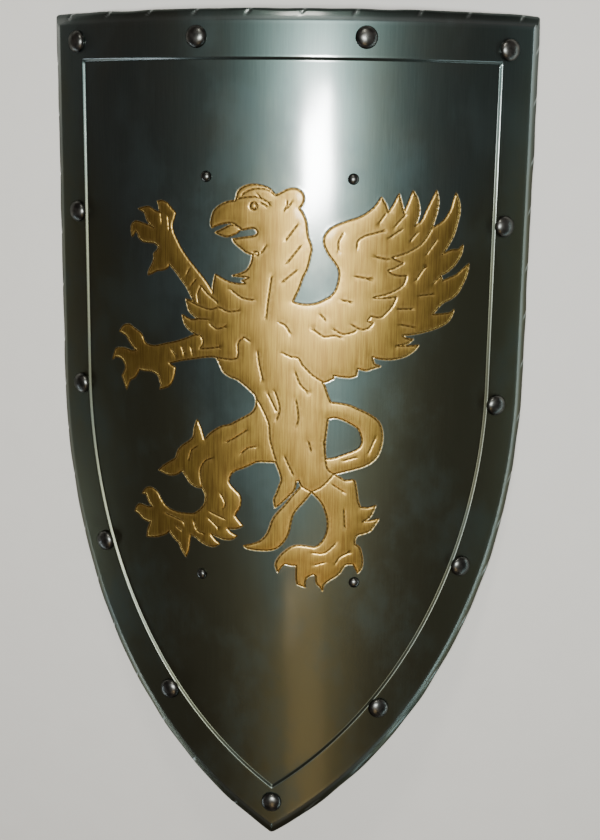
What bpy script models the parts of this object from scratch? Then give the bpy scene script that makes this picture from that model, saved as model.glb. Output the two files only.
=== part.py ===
"""A heater shield lying face up: a pressed steel sheet with a chased griffin, rivets and two arm straps."""

import math

import bmesh
import bpy
from mathutils import Matrix, Vector

# Shield sheet. Widths and places across are measured round the bend, at the middle of the sheet.
SHIELD_HEIGHT = 0.717
SHIELD_WIDTH = 0.443
STRAIGHT_SIDE = 0.306
BEND_RADIUS = 0.347
SHEET_THICKNESS = 0.0012

# Raised border, the step down to the field, and the edge that is turned down and curled to the back.
BORDER_WIDTH = 0.041
BORDER_RISE = 0.0018
STEP_RUN = 0.0032
TURN_DOWN_WIDTH = 0.0098
TURN_DOWN_DEPTH = 0.0018
ROLL_DIAMETER = 0.0085
ROLL_SWEEP = math.radians(308)

# Rivets of the border. Insets are from the outer edge, and the side rivets are spaced along that edge.
RIVET_HEAD_DIAMETER = 0.018
RIVET_HEAD_HEIGHT = 0.0052
RIVET_SHANK_DIAMETER = 0.0048
RIVET_TAIL_DIAMETER = 0.0085
RIVET_TAIL_HEIGHT = 0.0020
TOP_RIVET_INSET = 0.0222
TOP_RIVET_SPACING = 0.137
CORNER_RIVET_INSET = 0.0325
CORNER_RIVET_BELOW_TOP = 0.0285
SIDE_RIVET_INSET = 0.030
SIDE_RIVET_STEPS = (0.142, 0.152, 0.145, 0.146)
RIGHT_SIDE_DROP = 0.005
TIP_RIVET_INSET = 0.0335

# Straps, and the small rivets that hold them. Their heights are from the shield's middle, as the griffin's.
STRAP_RIVET_HEAD_DIAMETER = 0.0093
STRAP_RIVET_HEAD_HEIGHT = 0.0034
STRAP_RIVET_SHANK_DIAMETER = 0.0036
STRAP_RIVET_TAIL_DIAMETER = 0.0090
STRAP_RIVET_TAIL_HEIGHT = 0.0016
STRAP_WIDTH = 0.034
STRAP_THICKNESS = 0.003
STRAP_END_PAST_RIVET = 0.016
STRAP_SEAT_INSIDE_RIVET = 0.010
STRAP_BOW = 0.044
STRAP_GRIP_LENGTH = 0.030
UPPER_STRAP_ABOVE_CENTRE = 0.226
UPPER_STRAP_RIVET_SPACING = 0.1215
UPPER_STRAP_SHIFT = 0.0
LOWER_STRAP_BELOW_CENTRE = 0.1165
LOWER_STRAP_RIVET_SPACING = 0.134
LOWER_STRAP_SHIFT = 0.002

# Griffin. Its forms are drawn on a grid with this many squares to its height.
GRIFFIN_HEIGHT = 0.343
GRIFFIN_GRID = 343.0
GRIFFIN_BELOW_CENTRE = 0.0015
NEAR_RELIEF = 0.0011
FAR_RELIEF = 0.0007

# Clearances: between pieces that touch, and all round a shank in its hole.
SEAT_GAP = 0.0003
HOLE_CLEARANCE = 0.0003

# How finely round forms are divided.
FIELD_STRIPS = 18
CORNER_STEPS = 2
SIDE_STEPS = 2
ARC_STEPS = 16
ROLL_OUTER_STEPS = 8
ROLL_INNER_STEPS = 3
RIVET_SIDES = 12
STRAP_RIVET_SIDES = 10
DOME_STEPS = 3
HOLE_SIDES = 10
LEAF_STEPS = 3
LIMB_STEPS = 2
DISC_SIDES = 10
STRAP_STEPS = 16
STRAP_CORNER_STEPS = 3

# Worked out from the sizes above.
HALF_WIDTH = SHIELD_WIDTH / 2
TOP_Y = SHIELD_HEIGHT / 2
ARC_START_Y = TOP_Y - STRAIGHT_SIDE
ARC_DROP = SHIELD_HEIGHT - STRAIGHT_SIDE
SIDE_ARC_RADIUS = (ARC_DROP**2 + HALF_WIDTH**2) / SHIELD_WIDTH
ARC_CENTRE_X = HALF_WIDTH - SIDE_ARC_RADIUS
STRIP_WIDTH = (SHIELD_WIDTH - 2 * BORDER_WIDTH) / FIELD_STRIPS
HALF_SHEET = SHEET_THICKNESS / 2
ROLL_RADIUS = ROLL_DIAMETER / 2
ROLL_CENTRE_Z = BORDER_RISE + HALF_SHEET - TURN_DOWN_DEPTH - ROLL_RADIUS


def leaf(root, tip, width, bend=0.0):
    """A feather, tuft, toe or claw: full width at its root, pointed at its tip, and bowed to one side."""
    along = (tip[0] - root[0], tip[1] - root[1])
    length = math.hypot(*along)
    normal = (-along[1] / length, along[0] / length)
    left, right = [], []
    for step in range(LEAF_STEPS):
        t = step / LEAF_STEPS
        bow = 4 * bend * length * t * (1 - t)
        half = width / 2 * (1 - t * t)
        for edge, offset in ((left, bow + half), (right, bow - half)):
            edge.append(tuple(root[axis] + along[axis] * t + normal[axis] * offset for axis in (0, 1)))
    return left + [tip] + right[::-1]


def smooth(before, start, end, after, t):
    """The Catmull-Rom value between start and end."""
    return 0.5 * (
        2 * start
        + (end - before) * t
        + (2 * before - 5 * start + 4 * end - after) * t**2
        + (3 * start - before - 3 * end + after) * t**3
    )


def limb(*stations):
    """A tapering limb: its stations are (x, y, half width) along its middle, joined by a smooth curve."""
    ends = [stations[0], *stations, stations[-1]]
    middle = []
    for first in range(len(stations) - 1):
        for step in range(LIMB_STEPS):
            t = step / LIMB_STEPS
            middle.append(tuple(smooth(*values, t) for values in zip(*ends[first : first + 4])))
    middle.append(stations[-1])
    left, right = [], []
    for index, (x, y, half) in enumerate(middle):
        back, ahead = middle[max(index - 1, 0)], middle[min(index + 1, len(middle) - 1)]
        run, rise = ahead[0] - back[0], ahead[1] - back[1]
        length = math.hypot(run, rise)
        left.append((x - rise / length * half, y + run / length * half))
        right.append((x + rise / length * half, y - run / length * half))
    return left + right[::-1]


def rows(*levels):
    """A broad upright form: each level is (y, left x, right x)."""
    return [(left, y) for y, left, right in levels] + [(right, y) for y, left, right in reversed(levels)]


def columns(*places):
    """A broad level form: each place is (x, lower y, upper y)."""
    return [(x, low) for x, low, high in places] + [(x, high) for x, low, high in reversed(places)]


def disc(x, y, radius):
    turns = [2 * math.pi * side / DISC_SIDES for side in range(DISC_SIDES)]
    return [(x + radius * math.cos(turn), y + radius * math.sin(turn)) for turn in turns]


def head():
    skull = columns(
        (-56, 189, 194), (-51, 188, 203), (-45, 190, 206.5), (-36.5, 190, 208.5), (-34.5, 188, 215),
        (-29, 186, 220), (-20, 186, 222), (-11, 185, 220.5), (-5, 180, 217), (0, 178, 213.5),
        (12, 178, 207), (19, 184, 201), (23, 186, 193),
    )
    beak_hook = leaf((-50, 198), (-56.5, 185.5), 11, 0.05)
    jaw = leaf((-10, 172), (-38.5, 177.5), 16, 0.08)
    tongue = leaf((-28, 187), (-53, 181.5), 8)
    ear = disc(12, 210.5, 8.5)
    return [skull, beak_hook, jaw, tongue, ear]


def torso():
    trunk = rows(
        (190, -12, 24.5), (182, -16, 25), (173, -18, 28), (164, -20.5, 27), (156, -23.5, 25), (150, -29, 22),
        (146, -28, 20.5), (141, -29, 19), (134, -48, 16), (127, -56, 13), (118, -64, 30), (108, -66, 32),
        (97, -62, 32), (88, -58, 32), (78, -53, 34), (73, -50, 35), (67, -47, 37), (61, -38, 39.5),
        (55, -27, 42.5), (49, -19.5, 44), (43, -17, 45), (30, -10, 44), (20, -7, 43), (10, -6, 42),
        (0, -3, 41.5), (-10, 0, 43.5), (-16, 2.5, 47), (-20, 4, 51), (-25, 5, 62),
    )
    throat_tuft = leaf((-19, 154), (-38, 146.5), 9)
    chest_tufts = [
        leaf((-36, 124), (-53.5, 148), 26, 0.03),
        leaf((-60, 116), (-80, 126), 15, -0.03),
        leaf((-58, 103), (-83.5, 112), 16, 0.08),
    ]
    return [trunk, throat_tuft, *chest_tufts]


def standing_leg():
    shank = rows(
        (-20, 22, 51), (-24.5, 21, 66), (-29, 25, 69), (-34, 31, 70), (-40, 36.5, 70.5), (-48, 41.5, 72),
        (-57, 44.5, 73), (-66, 45.5, 72), (-73, 43.5, 70.5), (-80, 39, 70), (-88, 34, 72), (-94, 40, 70),
    )
    thigh_tuft = leaf((11, -22), (0, -50.5), 15, -0.04)
    hock_tufts = [leaf((64, -55), (86.5, -46.5), 13, -0.12), leaf((64, -65), (89.5, -58), 13, -0.13)]
    foot = limb((60, -90, 10), (42, -92, 9), (24, -92, 9.3), (9, -97, 6.5))
    toes = [
        leaf((9, -93), (3, -109), 11, -0.1),
        leaf((26.5, -94), (23.5, -122.5), 20),
        leaf((48.5, -91), (42, -124), 25),
        leaf((68, -84), (72, -108), 14, 0.1),
    ]
    return [shank, thigh_tuft, *hock_tufts, foot, *toes]


def inner_wing():
    shoulder = rows(
        (203, 78, 88), (198, 69, 112), (194, 58, 116), (190, 47, 122), (185, 41, 124), (180, 38, 122),
        (175, 38, 117), (170, 40, 109), (165, 43, 97), (160, 47, 101), (154, 50, 92), (149, 51.5, 96),
        (143, 50.5, 92), (137, 48.5, 88), (131, 43, 80), (127, 32, 80), (124.5, 14, 80), (116, 14, 74),
        (108, 20, 62), (102, 26, 46),
    )
    upper_feathers = [
        leaf((80, 188), (84.5, 213.5), 20, 0.04),
        leaf((93, 184), (98.5, 216.5), 15),
        leaf((105, 182), (110, 218.5), 17, -0.06),
        leaf((114, 174), (130, 219.5), 22, -0.09),
    ]
    coverts = [
        leaf((84, 143), (108, 150.5), 17, -0.16),
        leaf((74, 127), (100, 132), 19, -0.18),
        leaf((60, 115), (81, 111), 13, -0.1),
        leaf((46, 107), (67, 104), 10, -0.1),
        leaf((32, 104), (54, 98), 10, -0.1),
    ]
    return [shoulder, *upper_feathers, *coverts]


def outer_wing():
    span = rows(
        (188, 100, 128), (178, 100, 132), (168, 90, 135), (157, 90, 134), (147, 90, 133), (135, 88, 131),
        (125, 80, 130), (115, 74, 126), (105, 40, 114), (96, 30, 103), (88, 22, 84), (80, 22, 72),
        (73, 26, 58), (68, 32, 50), (63, 36, 44),
    )
    feathers = [
        leaf((126, 162), (147.5, 217.5), 25, -0.14),
        leaf((124, 156), (155.5, 175), 21, -0.15),
        leaf((124, 135), (161.5, 159.5), 27, -0.16),
        leaf((106, 112), (149.5, 121), 26, -0.15),
        leaf((96, 99), (114, 96.5), 9),
        leaf((80, 92), (119.5, 91.5), 21, -0.13),
        leaf((60, 79), (87, 73.5), 15, -0.06),
        leaf((42, 72), (67, 65.5), 13, -0.1),
        leaf((32, 68), (48, 63), 9),
    ]
    return [span, *feathers]


def upper_foreleg():
    arm = limb(
        (-50, 116, 11), (-63.5, 129, 9.6), (-73, 142, 8.6), (-83, 153.5, 8.8), (-95, 167, 11.5),
        (-101, 180, 10),
    )
    low_toe = limb((-100, 179, 8.5), (-112, 178.5, 7.2), (-121, 179.5, 7), (-128, 183.5, 5))
    claws = [
        leaf((-96, 184), (-106.5, 207), 16, -0.16),
        leaf((-100, 188), (-126, 199.5), 14, -0.08),
        leaf((-128, 185), (-132.5, 175), 10, -0.1),
        leaf((-99, 160), (-116.5, 143.5), 17, -0.03),
    ]
    return [arm, low_toe, *claws]


def lower_foreleg():
    arm = limb(
        (-50, 87, 10), (-66, 86, 9.5), (-80, 83, 9), (-92, 79.5, 8.7), (-105, 73.5, 11), (-118, 72.5, 11.5),
        (-129, 71, 9),
    )
    toes = [
        limb((-122, 78, 7.5), (-131, 87, 7.7), (-138, 94, 5.5)),
        limb((-124, 72, 7), (-138, 72.5, 6), (-148, 74, 4.2)),
    ]
    claws = [
        leaf((-135, 94.5), (-147.5, 92.5), 10, -0.12),
        leaf((-147, 75.5), (-155.5, 67.5), 7, -0.1),
        leaf((-131, 66), (-140, 42.5), 17, -0.05),
        leaf((-98, 71), (-105, 46.5), 17, 0.1),
    ]
    return [arm, *toes, *claws]


def raised_leg():
    thigh = limb((2, 12, 20), (-18, 9.5, 20), (-34, 3, 20.5), (-50, -6, 20), (-62, -18, 20))
    groin = leaf((-8, 16), (-17, 48), 21, -0.03)
    knee = disc(-71.5, -17.5, 19.5)
    knee_spikes = [leaf((-69, 0), (-69.5, 23), 13), leaf((-82, -18), (-107.5, -26.5), 16, 0.03)]
    shin = limb((-54, -22, 14), (-50.5, -36, 14), (-46.5, -48, 15.5), (-51, -62, 17), (-62, -71, 11))
    foot = limb((-58, -71, 11), (-76, -71.5, 9.6), (-90, -71, 9.6), (-102, -67, 10.5), (-110, -66, 8))
    high_toe = limb((-104, -62, 8), (-111, -54, 6.5), (-116, -48, 4.5))
    claws = [
        leaf((-113, -47.5), (-125, -49.5), 9, -0.1),
        leaf((-108, -67), (-133, -66.5), 15, -0.02),
        leaf((-102, -74), (-121, -89), 16, 0.02),
        leaf((-85, -76), (-80.5, -101.5), 19),
    ]
    heel_tufts = [
        leaf((-68, -74), (-49, -86), 15, -0.13),
        leaf((-56, -69), (-32.5, -77.5), 16, -0.12),
        leaf((-46, -61), (-27.5, -68), 13, -0.05),
    ]
    return [thigh, groin, knee, *knee_spikes, shin, foot, high_toe, *claws, *heel_tufts]


def tail():
    loop = limb(
        (40, 36, 7), (58.5, 34.5, 6.7), (70.5, 29, 7.3), (79, 22, 8.6), (81.5, 12.5, 8.5), (80, 3, 8.5),
        (74, -4, 8.2), (63.5, -8, 7.4), (50, -12, 7), (42, -14, 7),
    )
    brush = limb(
        (29, -26, 5), (24.5, -37, 5.2), (17, -44.5, 5.2), (9, -55, 7.5), (4.5, -66, 9), (0, -77, 8.5),
        (-8, -84, 5.2), (-17, -86.5, 3), (-27, -86.5, 0.4),
    )
    return [loop, brush]


def material(name, colour, metallic, roughness):
    made = bpy.data.materials.new(name)
    made.use_nodes = True
    shader = made.node_tree.nodes["Principled BSDF"]
    shader.inputs["Base Color"].default_value = (*colour, 1)
    shader.inputs["Metallic"].default_value = metallic
    shader.inputs["Roughness"].default_value = roughness
    made.diffuse_color = (*colour, 1)
    return made


def new_collection(name):
    made = bpy.data.collections.new(name)
    bpy.context.scene.collection.children.link(made)
    return made


def prism(name, outline, holes, low, high, collection):
    """A closed mesh with this flat outline and these holes, from one height to another."""
    curve = bpy.data.curves.new(name, "CURVE")
    curve.dimensions = "2D"
    curve.fill_mode = "BOTH"
    curve.extrude = (high - low) / 2
    for loop in (outline, *holes):
        spline = curve.splines.new("POLY")
        spline.points.add(len(loop) - 1)
        for point, (x, y) in zip(spline.points, loop):
            point.co = (x, y, 0, 1)
        spline.use_cyclic_u = True
    drawn = bpy.data.objects.new(name + "_outline", curve)
    drawn.location.z = (low + high) / 2
    collection.objects.link(drawn)
    bpy.context.view_layer.update()
    evaluated = drawn.evaluated_get(bpy.context.evaluated_depsgraph_get())
    mesh = bpy.data.meshes.new_from_object(evaluated)
    mesh.transform(drawn.matrix_world)
    bpy.data.objects.remove(drawn)
    shape = bmesh.new()
    shape.from_mesh(mesh)
    bmesh.ops.remove_doubles(shape, verts=shape.verts, dist=1e-6)
    bmesh.ops.recalc_face_normals(shape, faces=shape.faces)
    shape.to_mesh(mesh)
    shape.free()
    mesh.name = name
    solid = bpy.data.objects.new(name, mesh)
    collection.objects.link(solid)
    return solid


def hide_cutter(solid):
    solid.hide_render = True
    solid.display_type = "WIRE"


def outline_ring(inset):
    """The shield's flat outline, this far in from its edge, clockwise from the middle of the top."""
    half, top, radius = HALF_WIDTH - inset, TOP_Y - inset, SIDE_ARC_RADIUS - inset
    strips = FIELD_STRIPS // 2
    right = [(STRIP_WIDTH * strip, top) for strip in range(strips)]
    last = right[-1][0]
    right += [(last + (half - last) * step / (CORNER_STEPS + 1), top) for step in range(1, CORNER_STEPS + 1)]
    right += [(half, top + (ARC_START_Y - top) * step / SIDE_STEPS) for step in range(SIDE_STEPS)]
    tip_turn = math.acos(-ARC_CENTRE_X / radius)
    for step in range(ARC_STEPS):
        turn = tip_turn * step / ARC_STEPS
        right.append((ARC_CENTRE_X + radius * math.cos(turn), ARC_START_Y - radius * math.sin(turn)))
    tip = (0.0, ARC_START_Y - radius * math.sin(tip_turn))
    left = [(-x, y) for x, y in reversed(right[1:])]
    return right + [tip] + left


def edge_inset(x, y):
    """How far a flat point lies in from the shield's edge."""
    if y >= ARC_START_Y:
        side = HALF_WIDTH - abs(x)
    else:
        side = SIDE_ARC_RADIUS - math.hypot(abs(x) - ARC_CENTRE_X, y - ARC_START_Y)
    return min(side, TOP_Y - y)


def roll_point(radius, turn):
    """A point (inset, height) of the curled edge: turn 0 is its crest, and it grows outwards and under."""
    return ROLL_RADIUS - radius * math.sin(turn), ROLL_CENTRE_Z + radius * math.cos(turn)


def roll_start(radius, height):
    """The turn at which a straight line from the border, at this height, runs smoothly into the curl."""
    across, up = TURN_DOWN_WIDTH - ROLL_RADIUS, height - ROLL_CENTRE_Z
    return math.acos(radius / math.hypot(across, up)) - math.atan2(across, up)


def roll_turns(radius, height, steps):
    start = roll_start(radius, height)
    return [start + (ROLL_SWEEP - start) * step / steps for step in range(steps + 1)]


def sheet_section():
    """The sheet's cut edge as (inset, height): along the back, into the curl, and home along the front."""
    step_top, step_middle = BORDER_WIDTH - STEP_RUN, BORDER_WIDTH - STEP_RUN / 2
    border_middle = (TURN_DOWN_WIDTH + step_top) / 2
    middle = [
        (BORDER_WIDTH, 0.0),
        (step_middle, BORDER_RISE / 2),
        (step_top, BORDER_RISE),
        (border_middle, BORDER_RISE),
        (TURN_DOWN_WIDTH, BORDER_RISE),
    ]
    back = [(inset, height - HALF_SHEET) for inset, height in middle]
    front = [(inset, height + HALF_SHEET) for inset, height in reversed(middle)]
    inside = ROLL_RADIUS - SHEET_THICKNESS
    inner_turns = roll_turns(inside, BORDER_RISE - HALF_SHEET, ROLL_INNER_STEPS)
    outer_turns = roll_turns(ROLL_RADIUS, BORDER_RISE + HALF_SHEET, ROLL_OUTER_STEPS)
    inner = [roll_point(inside, turn) for turn in inner_turns]
    outer = [roll_point(ROLL_RADIUS, turn) for turn in reversed(outer_turns)]
    return back + inner + outer + front


def flat_sheet(collection):
    """The pressed sheet before it is bent: its section swept round the outline, with the field inside."""
    shape = bmesh.new()
    rings = []
    for inset, height in sheet_section():
        rings.append([shape.verts.new((x, y, height)) for x, y in outline_ring(inset)])
    for ring, following in zip(rings, rings[1:]):
        for index in range(len(ring)):
            after = (index + 1) % len(ring)
            shape.faces.new((ring[index], ring[after], following[after], following[index]))
    shape.faces.new(rings[0])
    shape.faces.new(rings[-1])
    bmesh.ops.recalc_face_normals(shape, faces=shape.faces)
    mesh = bpy.data.meshes.new("flat_sheet")
    shape.to_mesh(mesh)
    shape.free()
    sheet = bpy.data.objects.new("flat_sheet", mesh)
    collection.objects.link(sheet)
    return sheet


def griffin_solids(collection):
    """The griffin's forms as prisms that start inside the sheet. Near ones stand higher than far ones."""
    square = GRIFFIN_HEIGHT / GRIFFIN_GRID
    near = [*head(), *torso(), *standing_leg(), *inner_wing()]
    far = [*upper_foreleg(), *lower_foreleg(), *raised_leg(), *tail(), *outer_wing()]
    solids = []
    for group, relief in ((near, NEAR_RELIEF), (far, FAR_RELIEF)):
        for outline in group:
            placed = [(x * square, y * square - GRIFFIN_BELOW_CENTRE) for x, y in outline]
            solids.append(prism("griffin_form", placed, (), 0.0, HALF_SHEET + relief, collection))
    return solids


def border_rivet_places():
    """Flat places of the border rivets: the top, down the right side, down the left side, then the tip."""
    places = [(side * TOP_RIVET_SPACING / 2, TOP_Y - TOP_RIVET_INSET) for side in (-1, 1)]
    radius = SIDE_ARC_RADIUS - SIDE_RIVET_INSET
    for side, drop in ((1, RIGHT_SIDE_DROP), (-1, 0.0)):
        corner_y = TOP_Y - CORNER_RIVET_BELOW_TOP + RIGHT_SIDE_DROP - drop
        places.append((side * (HALF_WIDTH - CORNER_RIVET_INSET), corner_y))
        straight = corner_y - ARC_START_Y
        travelled = 0.0
        for step in SIDE_RIVET_STEPS:
            travelled += step
            turn = max(travelled - straight, 0.0) / radius
            x = ARC_CENTRE_X + radius * math.cos(turn)
            y = max(corner_y - travelled, ARC_START_Y) - radius * math.sin(turn)
            places.append((side * x, y))
    places.append((0.0, TOP_Y - SHIELD_HEIGHT + TIP_RIVET_INSET))
    return places


def strap_settings():
    """(name, middle x, y, half the rivets' spacing) of each strap."""
    return [
        ("upper_strap", UPPER_STRAP_SHIFT, UPPER_STRAP_ABOVE_CENTRE, UPPER_STRAP_RIVET_SPACING / 2),
        ("lower_strap", LOWER_STRAP_SHIFT, -LOWER_STRAP_BELOW_CENTRE, LOWER_STRAP_RIVET_SPACING / 2),
    ]


def strap_rivet_places():
    return [(middle + side * half, y) for name, middle, y, half in strap_settings() for side in (-1, 1)]


def hole_cutter(x, y, shank_diameter, collection):
    reach = BORDER_RISE + NEAR_RELIEF + SHEET_THICKNESS
    radius = shank_diameter / 2 + HOLE_CLEARANCE
    shape = bmesh.new()
    bmesh.ops.create_cone(
        shape, cap_ends=True, segments=HOLE_SIDES, radius1=radius, radius2=radius, depth=4 * reach
    )
    mesh = bpy.data.meshes.new("rivet_hole")
    shape.to_mesh(mesh)
    shape.free()
    cutter = bpy.data.objects.new("rivet_hole", mesh)
    cutter.location = (x, y, 0)
    collection.objects.link(cutter)
    return cutter


def bent(x, y, height):
    """Where a point of the flat pattern lies once the sheet is bent."""
    turn = x / BEND_RADIUS
    reach = BEND_RADIUS + height
    return Vector((reach * math.sin(turn), y, reach * math.cos(turn) - BEND_RADIUS))


def bent_frame(x, y, height):
    """The place and the lean of a piece that stands square on the bent sheet."""
    return Matrix.Translation(bent(x, y, height)) @ Matrix.Rotation(x / BEND_RADIUS, 4, "Y")


def combine(sheet, others, operation, holder):
    """The flat sheet with all the others joined to it or cut from it."""
    for other in others:
        holder.objects.link(other)
    modifier = sheet.modifiers.new(operation.lower(), "BOOLEAN")
    modifier.operation = operation
    modifier.operand_type = "COLLECTION"
    modifier.collection = holder
    modifier.solver = "EXACT"
    bpy.context.view_layer.update()
    evaluated = sheet.evaluated_get(bpy.context.evaluated_depsgraph_get())
    joined = bpy.data.meshes.new_from_object(evaluated)
    sheet.modifiers.clear()
    sheet.data = joined


def in_field(face):
    return all(edge_inset(vert.co.x, vert.co.y) > BORDER_WIDTH - 1e-5 for vert in face.verts)


def bend_sheet(mesh):
    """Divides the field into level strips and wraps the sheet round its bend."""
    shape = bmesh.new()
    shape.from_mesh(mesh)
    field_edges = [edge for edge in shape.edges if all(in_field(face) for face in edge.link_faces)]
    bmesh.ops.dissolve_limit(shape, angle_limit=math.radians(0.5), verts=shape.verts, edges=field_edges)
    for strip in range(1 - FIELD_STRIPS // 2, FIELD_STRIPS // 2):
        faces = [face for face in shape.faces if in_field(face)]
        edges = {edge for face in faces for edge in face.edges}
        verts = {vert for face in faces for vert in face.verts}
        place = (strip * STRIP_WIDTH, 0, 0)
        bmesh.ops.bisect_plane(
            shape, geom=[*verts, *edges, *faces], dist=1e-6, plane_co=place, plane_no=(1, 0, 0)
        )
    bmesh.ops.triangulate(shape, faces=[face for face in shape.faces if len(face.verts) > 4])
    bmesh.ops.dissolve_degenerate(shape, dist=2e-6, edges=shape.edges)
    for vert in shape.verts:
        vert.co = bent(*vert.co)
    shape.to_mesh(mesh)
    shape.free()


def colour_griffin(mesh, steel, brass):
    """Steel all over, and brass on every face that stands above the field, inside the border."""
    mesh.materials.clear()
    mesh.materials.append(steel)
    mesh.materials.append(brass)
    for face in mesh.polygons:
        x, y, z = face.center
        height = math.hypot(x, z + BEND_RADIUS) - BEND_RADIUS
        flat_x = BEND_RADIUS * math.atan2(x, z + BEND_RADIUS)
        inside = edge_inset(flat_x, y) > BORDER_WIDTH
        face.material_index = int(inside and height > HALF_SHEET + FAR_RELIEF / 4)


def make_sheet(parts, cutters, lift, steel, brass):
    sheet = flat_sheet(parts)
    forms = griffin_solids(cutters)
    combine(sheet, forms, "UNION", new_collection("griffin_forms"))
    holes = [hole_cutter(x, y, RIVET_SHANK_DIAMETER, cutters) for x, y in border_rivet_places()]
    holes += [hole_cutter(x, y, STRAP_RIVET_SHANK_DIAMETER, cutters) for x, y in strap_rivet_places()]
    combine(sheet, holes, "DIFFERENCE", new_collection("rivet_holes"))
    for name in ("griffin_forms", "rivet_holes"):
        bpy.data.collections.remove(bpy.data.collections[name])
    for cutter in (*forms, *holes):
        hide_cutter(cutter)
    bend_sheet(sheet.data)
    colour_griffin(sheet.data, steel, brass)
    sheet.name = "shield_sheet"
    sheet.data.name = "shield_sheet"
    sheet.data.shade_smooth()
    sheet.data.set_sharp_from_angle(angle=math.radians(28))
    sheet.parent = lift
    return sheet


def rivet_profile(head_diameter, head_height, shank_diameter, tail_diameter, tail_height, grip):
    """A rivet's half outline from its dome down to its peened tail, with z 0 on the sheet's front."""
    head, shank, tail = head_diameter / 2, shank_diameter / 2, tail_diameter / 2
    points = []
    for step in range(DOME_STEPS + 1):
        turn = math.pi / 2 * step / DOME_STEPS
        points.append((head * math.sin(turn), SEAT_GAP + head_height * math.cos(turn)))
    tail_top = -grip - SEAT_GAP
    return points + [
        (shank, SEAT_GAP),
        (shank, tail_top),
        (tail, tail_top),
        (tail * 0.8, tail_top - tail_height),
        (0.0, tail_top - tail_height),
    ]


def turned(name, profile, sides, finish, parts):
    """A solid turned about Z from a half outline that runs from top to bottom."""
    shape = bmesh.new()
    verts = [shape.verts.new((radius, 0, height)) for radius, height in profile]
    for vert, following in zip(verts, verts[1:]):
        shape.edges.new((vert, following))
    mesh = bpy.data.meshes.new(name)
    shape.to_mesh(mesh)
    shape.free()
    mesh.materials.append(finish)
    piece = bpy.data.objects.new(name, mesh)
    parts.objects.link(piece)
    screw = piece.modifiers.new("turn", "SCREW")
    screw.steps = sides
    screw.render_steps = sides
    screw.use_merge_vertices = True
    screw.merge_threshold = 0.0001
    screw.use_smooth_shade = True
    return piece


def make_border_rivets(parts, lift, finish):
    profile = rivet_profile(
        RIVET_HEAD_DIAMETER,
        RIVET_HEAD_HEIGHT,
        RIVET_SHANK_DIAMETER,
        RIVET_TAIL_DIAMETER,
        RIVET_TAIL_HEIGHT,
        SHEET_THICKNESS,
    )
    for number, (x, y) in enumerate(border_rivet_places(), 1):
        rivet = turned(f"border_rivet_{number:02d}", profile, RIVET_SIDES, finish, parts)
        rivet.matrix_world = bent_frame(x, y, BORDER_RISE + HALF_SHEET)
        rivet.parent = lift


def make_strap_rivets(parts, lift, finish):
    profile = rivet_profile(
        STRAP_RIVET_HEAD_DIAMETER,
        STRAP_RIVET_HEAD_HEIGHT,
        STRAP_RIVET_SHANK_DIAMETER,
        STRAP_RIVET_TAIL_DIAMETER,
        STRAP_RIVET_TAIL_HEIGHT,
        SHEET_THICKNESS + SEAT_GAP + STRAP_THICKNESS,
    )
    for number, (x, y) in enumerate(strap_rivet_places(), 1):
        rivet = turned(f"strap_rivet_{number}", profile, STRAP_RIVET_SIDES, finish, parts)
        rivet.matrix_world = bent_frame(x, y, HALF_SHEET)
        rivet.parent = lift


def strap_path(across, half_spacing):
    """The middle of a strap's thickness, this far from its own middle: (x, z) in the shield's frame."""
    seat_radius = BEND_RADIUS - HALF_SHEET - SEAT_GAP - STRAP_THICKNESS / 2
    side, reach = math.copysign(1, across), abs(across)
    seated_from = half_spacing - STRAP_SEAT_INSIDE_RIVET
    flat_to = STRAP_GRIP_LENGTH / 2
    share = min(max((seated_from - reach) / (seated_from - flat_to), 0.0), 1.0)
    drop = STRAP_BOW * share * share * (3 - 2 * share)
    turn = reach / BEND_RADIUS
    level_turn = max(reach, flat_to) / BEND_RADIUS
    height = seat_radius * math.cos(level_turn) - BEND_RADIUS - drop
    return Vector((side * seat_radius * math.sin(turn), 0, height))


def strap_outline(half_length):
    """A strap laid flat, with rounded corners."""
    half_width = STRAP_WIDTH / 2
    corner = half_width / 2
    points = []
    for quarter, (x_sign, y_sign) in enumerate(((1, 1), (-1, 1), (-1, -1), (1, -1))):
        centre_x, centre_y = x_sign * (half_length - corner), y_sign * (half_width - corner)
        for step in range(STRAP_CORNER_STEPS + 1):
            turn = math.pi / 2 * (quarter + step / STRAP_CORNER_STEPS)
            points.append((centre_x + corner * math.cos(turn), centre_y + corner * math.sin(turn)))
    return points


def circle(x, y, radius):
    turns = [2 * math.pi * side / HOLE_SIDES for side in range(HOLE_SIDES)]
    return [(x + radius * math.cos(turn), y + radius * math.sin(turn)) for turn in turns]


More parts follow.
